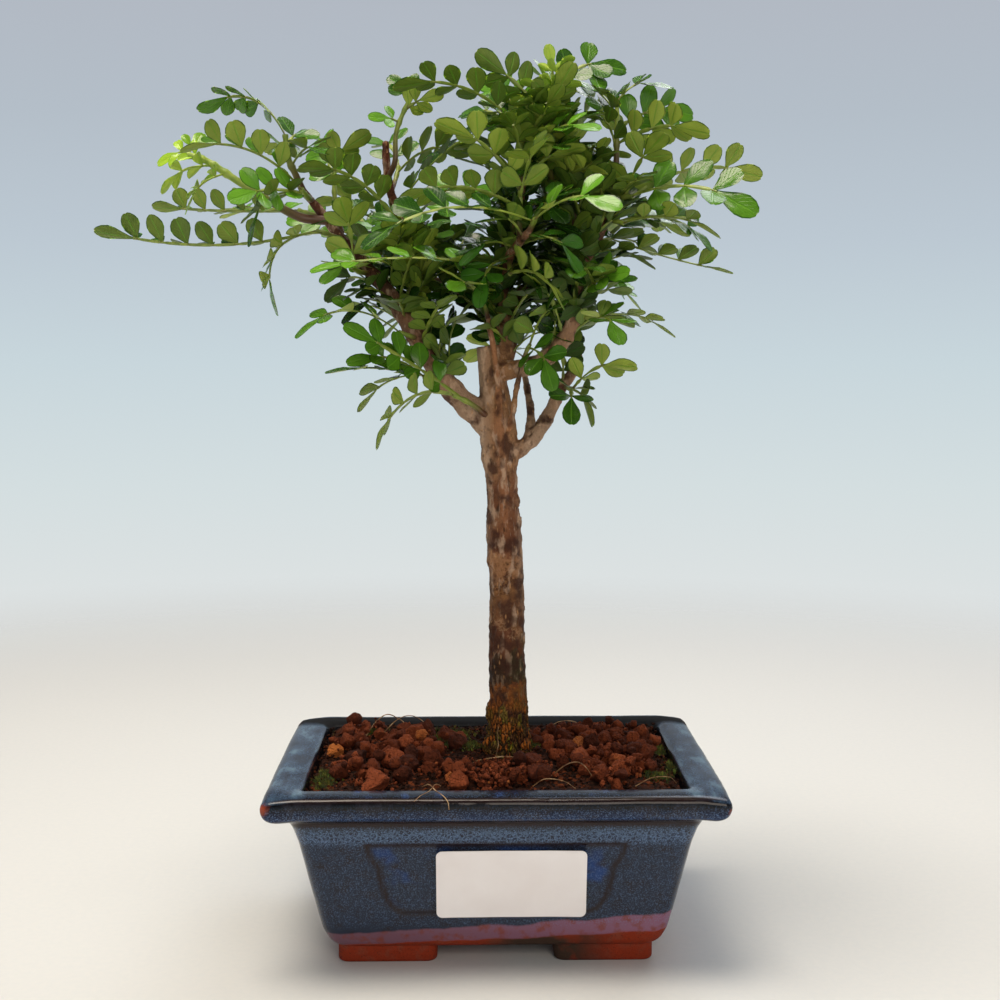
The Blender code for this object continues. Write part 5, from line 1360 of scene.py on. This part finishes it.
def lava_gravel():
    """Fired red clay lava: matt, porous, dusty, each lump its own brown, a few of them orange."""
    made, add, shader = finish("red lava gravel")
    where = add("TexCoord").outputs["Object"]
    tone = add("Attribute", attribute_name="tone").outputs["Fac"]
    cloud = add("TexNoise", {"Vector": where, "Scale": 420, "Detail": 5, "Roughness": 0.65})
    # Pores of 0.4 mm
    pores = add("TexVoronoi", {"Vector": where, "Scale": 1500})
    share = add("Math", {0: cloud, 1: 0.4, 2: tone}, operation="MULTIPLY_ADD")
    share = add("MapRange", {0: share, 1: 0.2, 2: 1.2})
    colour = add("ValToRGB", {0: share}, [
        (0.0, "#30170e"), (0.25, "#572918"), (0.5, "#7a3c22"), (0.75, "#924b2d"), (1.0, "#b86c35")])
    pit = add("MapRange", {0: pores, 1: 0.35, 2: 0.1, 4: 0.6})
    relief = add("Math", {0: cloud, 1: 1.4}, operation="MULTIPLY")
    relief = add("Math", {0: relief, 1: pit}, operation="SUBTRACT")
    feed(shader, {
        "Base Color": coated(add, colour, [(pit, None, "#29130d")]),
        "Roughness": 0.9,
        "Specular IOR Level": 0.15,
        "Normal": add("Bump", {"Height": relief, "Distance": 1.3 * MM, "Strength": 1.0}),
    })
    return made


def any_turn(draw):
    return Quaternion(draw.normal(size=4)).normalized()


def gravel_rows(draw, middle_x, middle_y, half_x, half_y, counts):
    """Stones dropped from large to small, each on the soil or on those under it."""
    mouth_x, mouth_y = POT_HALF_X - MOUTH_INSET, POT_HALF_Y - MOUTH_INSET
    laid = np.empty((0, 4))
    rows = []
    for sort, ((least, most), count) in enumerate(zip(GRAVEL_RADII, counts)):
        for _ in range(count):
            for _ in range(STONE_TRIES):
                turn, out = draw.uniform(0, math.tau), math.sqrt(draw.uniform())
                ragged = 1 + 0.16 * math.sin(3 * turn + middle_x) + 0.1 * math.sin(7 * turn)
                x = middle_x + half_x * out * ragged * math.cos(turn)
                y = middle_y + half_y * out * ragged * math.sin(turn)
                radius = draw.uniform(least, most)
                height = soil_height(x, y) + STONE_RISE * radius
                apart = np.hypot(laid[:, 0] - x, laid[:, 1] - y)
                reach = (laid[:, 3] + radius) * STONE_SETTLING
                near = apart < reach
                if near.any():
                    height = max(height, (laid[near, 2] + np.sqrt(reach[near] ** 2 - apart[near] ** 2)).max())
                clear = from_trunk(x, y) > CLEAR_OF_TRUNK + radius
                inside = abs(x) < mouth_x - radius and abs(y) < mouth_y - radius
                if clear and inside and height + 0.8 * radius < GRAVEL_TOP - CHIPS_LOWER * (sort > 1):
                    break
            else:
                continue
            laid = np.vstack([laid, (x, y, height, radius)])
            kind = int(draw.integers(0, STONE_KINDS)) + STONE_KINDS * min(sort, 2)
            reach = Vector(draw.uniform(0.82, 1.15, 3)) * radius * MM
            tone = draw.beta(2.2, 2.2) * 0.8 + 0.25 * (draw.uniform() < 0.07)
            rows.append((place((x, y, height)), any_turn(draw), reach, kind, tone))
    return rows


STONES = shape_box("stone", [
    stone_mesh(f"{sort}_{index}", first_seed + index, subdivisions)
    for sort, first_seed, subdivisions in (("lump", 0, 4), ("stone", 40, 3), ("chip", 20, 2))
    for index in range(STONE_KINDS)
])
LAVA = lava_gravel()
for seed, (node, *bed) in enumerate(GRAVEL_BEDS):
    stones = scattered(gravel_rows(np.random.default_rng(seed + 5), *bed), STONES, LAVA)
    piece(node + "_stones", stones, None, "lava_gravel", node, angle=60)

# Crumbs, moss and rootlets
# What lies and grows on the soil: loose crumbs of peat, cushions of moss in the damp corners, and
# pale feeding roots that came up when the tree was potted.

# Middle x and y, half length and half width, sprigs
MOSS = [
    (-57, -24, 3.5, 12, 420), (-20, 18, 9, 8, 560), (-16, 32, 9, 7, 480), (62, -12, 3, 9, 340),
    (59, 10, 4, 8, 200), (-8, 6, 4, 6, 140), (14, 6, 3.5, 6, 90), (55, -24, 5, 5, 180), (-48, 36, 8, 3, 160),
]
MOSS_CLEAR = 8.8  # from the trunk's middle
CRUMBS = 2200
CRUMB_REACH = 0.6  # of the way from the mouth's edge to the wall, for crumbs
SPRIG_BLADES = 6
# Radius and places of the pale roots
ROOTLETS = [
    (0.28, [(-9, -13, 60), (-6, -16.4, 63.4), (-1, -17.6, 64.6), (3, -16.4, 64.8), (9, -17, 64.3),
        (13, -14.6, 61)]),
    (0.2, [(-24, -39, 61), (-21.6, -44, 63.2), (-19.4, -49, 62.7), (-17, -54, 62.6), (-15.4, -56.8, 61.4),
        (-15, -57.2, 59)]),
    (0.16, [(-18, -38, 61), (-19.6, -43, 63), (-21.4, -49, 62.6), (-24, -54, 62.6), (-26, -57, 61.6)]),
    (0.24, [(19, -24, 60), (23, -27, 64.4), (27, -26, 65.4), (30, -28.6, 64.6), (33, -28, 60)]),
    (0.24, [(-48, 33, 59), (-44, 37, 64), (-40, 38, 66.5), (-36, 36.6, 65.4), (-33, 37, 63), (-30, 34, 59)]),
    (0.2, [(-42, 30, 60), (-37, 32, 65), (-33, 35.6, 66.4), (-29, 38, 65.4), (-24, 37, 62), (-22, 36, 59)]),
    (0.18, [(18, 30, 60), (24, 34, 64), (31, 35, 64), (37, 33, 60)]),
    (0.2, [(-0.5, -9, 58), (0.4, -9.6, 63), (1.3, -8.9, 67), (1.0, -8.2, 70), (1.4, -7.6, 73)]),
    (0.16, [(46, -36, 60), (51, -37, 63), (57, -36, 63), (60, -33, 60)]),
    (0.16, [(12, -36, 60), (16, -39, 63.4), (22, -40, 63), (26, -38, 60)]),
]


def sprig_mesh(name, seed):
    """A tuft of pointed leaves, a unit high."""
    draw = np.random.default_rng(seed)
    points, faces = [], []
    for blade in range(SPRIG_BLADES):
        turn = math.tau * (blade + draw.uniform(-0.3, 0.3)) / SPRIG_BLADES
        lean = draw.uniform(0.15, 0.75)
        out = Vector((math.cos(turn), math.sin(turn), 0))
        side = Vector((-math.sin(turn), math.cos(turn), 0)) * 0.13
        tip = out * math.sin(lean) * 0.9 + Vector((0, 0, math.cos(lean)))
        start = len(points)
        points += [out * 0.02 - side, out * 0.02 + side, out * -0.08, tip]
        faces += [
            [start + corner for corner in face] for face in ((0, 2, 1), (0, 1, 3), (1, 2, 3), (2, 0, 3))]
    mesh = bpy.data.meshes.new(name)
    mesh.from_pydata(points, [], faces)
    return mesh


def moss_green():
    """Living moss: soft, bright at the tips, brown where it is dry."""
    made, add, shader = finish("living moss")
    tone = add("Attribute", attribute_name="tone").outputs["Fac"]
    feed(shader, {
        "Base Color": add("ValToRGB", {0: tone}, [
            (0.0, "#1a2009"), (0.4, "#2a3a10"), (0.75, "#445c1a"), (1.0, "#879e38")]),
        "Roughness": 0.7,
        "Subsurface Weight": 0.2,
        "Subsurface Scale": 0.4 * MM,
    })
    return made


def pale_root():
    """Dry feeding root: tan with paler and darker lengths."""
    made, add, shader = finish("dry rootlet")
    where = add("TexCoord").outputs["Object"]
    cloud = add("TexNoise", {"Vector": where, "Scale": 300, "Detail": 2})
    feed(shader, {
        "Base Color": add("ValToRGB", {0: cloud}, [
            (0.3, "#5f4028"), (0.5, "#8f6a44"), (0.68, "#c9a97e")]),
        "Roughness": 0.7,
    })
    return made


draw = np.random.default_rng(3)
sprig_rows = []
for middle_x, middle_y, half_x, half_y, count in MOSS:
    for _ in range(count):
        across, along = draw.normal(0, 0.5, 2)
        x, y = middle_x + half_x * across, middle_y + half_y * along
        if max(abs(x) - POT_HALF_X, abs(y) - POT_HALF_Y) > 0.2 - MOUTH_INSET:
            continue
        if from_trunk(x, y) < MOSS_CLEAR:
            continue
        high = draw.uniform(0.9, 2.4) * MM * (1.2 - 0.5 * min(1, math.hypot(across, along)))
        turn = Quaternion((0, 0, 1), draw.uniform(0, math.tau)) @ Quaternion((1, 0, 0), draw.normal(0, 0.3))
        base = place((x, y, soil_height(x, y) + crumbly(x, y) - 0.2))
        sprig_rows.append((base, turn, (high, high, high), int(draw.integers(0, 3)), draw.beta(2, 2)))
SPRIGS = shape_box("sprig", [sprig_mesh(f"sprig_{seed}", seed) for seed in range(3)])
piece("moss", scattered(sprig_rows, SPRIGS, moss_green()), None, "leaf", angle=30)

crumb_rows = []
while len(crumb_rows) < CRUMBS:
    x = draw.uniform(-1, 1) * (POT_HALF_X - MOUTH_INSET + CRUMB_REACH)
    y = draw.uniform(-1, 1) * (POT_HALF_Y - MOUTH_INSET + CRUMB_REACH)
    if from_trunk(x, y) > ROOT_HOLE:
        radius = 0.35 + 0.9 * draw.beta(1.3, 4)
        height = soil_height(x, y) + crumbly(x, y) + 0.3 * radius
        turn = any_turn(draw)
        reach = Vector(draw.uniform(0.7, 1.3, 3)) * radius * MM
        kind = 2 * STONE_KINDS + int(draw.integers(0, STONE_KINDS))
        crumb_rows.append((place((x, y, height)), turn, reach, kind, 0.0))
piece("crumbs", scattered(crumb_rows, STONES, PEAT), None, "potting_soil", angle=60)

roots = bmesh.new()
roots.verts.layers.float.new("woody")
for radius, points in ROOTLETS:
    path = [Vector(point) for point in smooth_path(points, 0.7)]
    widths = [radius * (1 - 0.4 * index / len(path)) for index in range(len(path))]
    add_shape(roots, [(ring, 1.0) for ring in tube(path, widths, 6)])
piece("rootlets", drawn("roots", roots), pale_root(), "bark", angle=60)

# The label
# A blank sticker of coated white paper with rounded corners, pressed on the sunk panel by hand,
# so that its edge stands off a little.

LABEL_MIDDLE = (5.0, 29.7)
LABEL_SIZE = (49, 24.5)
LABEL_CORNER = 2
LABEL_THICKNESS = 0.25
LABEL_LIFT = 0.3  # off the wall, and more at its corners
CORNER_LIFT = 0.35


def label_mesh():
    """Paper from rings: out over its back from the middle to the rounded edge, and in over its face."""
    lean = math.atan2(WALL_FOOT_INSET - WALL_HEAD_INSET, WALL_HEAD - WALL_FOOT)
    outward = Vector((0, -math.cos(lean), -math.sin(lean)))
    upward = Vector((0, -math.sin(lean), math.cos(lean)))
    across, up = LABEL_MIDDLE
    middle = Vector((across, -float(wall_face(np.array(up))), up))
    half_x, half_y = LABEL_SIZE[0] / 2, LABEL_SIZE[1] / 2
    edge = rounded_rectangle(half_x, half_y, LABEL_CORNER, 0, (12, 20), 6)
    rings = []
    shares = np.linspace(0.02, 1, 9)
    layers = [(0, share) for share in shares] + [(LABEL_THICKNESS, share) for share in shares[::-1]]
    for above, share in layers:
        ring = []
        for x, y, _ in edge:
            x, y = x * share, y * share
            corner = abs(x / half_x) ** 3 * abs(y / half_y) ** 3
            lift = LABEL_LIFT + CORNER_LIFT * corner + 0.04 * math.sin(x * 0.4) + above
            ring.append(middle + Vector((x, 0, 0)) + upward * y + outward * lift)
        rings.append(ring)
    return solid(*loft(rings))


def coated_paper():
    """Coated label paper: white, smooth, with a faint sheen and a trace of grain."""
    made, add, shader = finish("coated label paper")
    where = add("TexCoord").outputs["Object"]
    cloud = add("TexNoise", {"Vector": where, "Scale": 60, "Detail": 3})
    grain = add("TexNoise", {"Vector": where, "Scale": 1800, "Detail": 2})
    feed(shader, {
        "Base Color": add("ValToRGB", {0: cloud}, [(0.3, "#f2ebe9"), (0.7, "#f8f3f2")]),
        "Roughness": 0.35,
        "Normal": add("Bump", {"Height": grain, "Distance": 0.05 * MM, "Strength": 0.3}),
    })
    return made


piece("label_paper", label_mesh(), coated_paper(), "label_paper", "label", angle=50)

# The floor, the light and the camera
# A plain pale table that fades into a pale surround, one broad lamp above, and softer ones in
# front and behind.

FLOOR_REACH = (0.35, 0.9)  # in metres, where it starts to fade and where it ends
FLOOR_SIDES = 96


def pale_table():
    """Matt painted board with a trace of roller grain, which fades out far from the pot."""
    made, add, shader = finish("painted board")
    where = add("TexCoord").outputs["Object"]
    away = add("VectorMath", {0: where}, operation="LENGTH")
    grain = add("TexNoise", {"Vector": where, "Scale": 400, "Detail": 2})
    feed(shader, {
        "Alpha": add("MapRange", {0: away, 1: FLOOR_REACH[1], 2: FLOOR_REACH[0]},
                     interpolation_type="SMOOTHSTEP"),
        "Base Color": add("ValToRGB", {0: grain}, [(0.3, "#d3d7d7"), (0.7, "#d6d9d8")]),
        "Roughness": 0.8,
    })
    return made


board = bpy.data.meshes.new("board")
board.from_pydata(circle((0, 0), FLOOR_REACH[1], 0, FLOOR_SIDES), [], [range(FLOOR_SIDES)])
board.materials.append(pale_table())
floor = put("floor", board)

world = bpy.data.worlds.new("pale surround")
world.use_nodes = True
add = partial(add_node, world.node_tree)
direction = add("TexCoord").outputs["Generated"]
upwards = add("SeparateXYZ", {0: direction}).outputs[2]
share = add("MapRange", {0: upwards, 1: -0.25, 2: 0.5})
feed(world.node_tree.nodes["Background"], {
    0: add("ValToRGB", {0: share}, [
        (0.0, "#e9e5e0"), (0.12, "#dee2e2"), (0.23, "#d4dee0"), (0.34, "#c8d6dc"), (0.45, "#bcc8d2"),
        (0.555, "#b4bec8"), (0.65, "#b2b9c3"), (0.78, "#8b8f95"), (1.0, "#5e6064")]),
    1: 1.0,
})
bpy.context.scene.world = world

LAMPS_AIM = Vector((0, 0, 0.17))
for name, where, size, power, colour in (
    ("above", (-0.2, -0.1, 1.25), 0.6, 16.5, "#fff1e0"),
    ("front", (0.3, -1.2, 0.7), 0.6, 4.8, "#ffeedd"),
    ("behind", (0.35, 0.5, 0.8), 0.5, 2.8, "#f8faff"),
):
    lamp = bpy.data.lights.new(name, "AREA")
    lamp.size = size
    lamp.energy = power
    lamp.color = linear(colour)[:3]
    holder = put(name, lamp)
    holder.location = where
    holder.rotation_euler = (LAMPS_AIM - Vector(where)).to_track_quat("-Z", "Y").to_euler()

# As fitted to the pot's edges in the photo
camera = put("camera", bpy.data.cameras.new("camera"))
camera.location = place((-7.2, -500, 196.7))
camera.rotation_euler = (math.radians(90 - 5.18), 0, math.radians(-1.06))
camera.data.sensor_width = 36
camera.data.lens = 52.0
camera.data.clip_start = 0.01
bpy.context.scene.camera = camera
bpy.context.scene.view_settings.view_transform = "Standard"
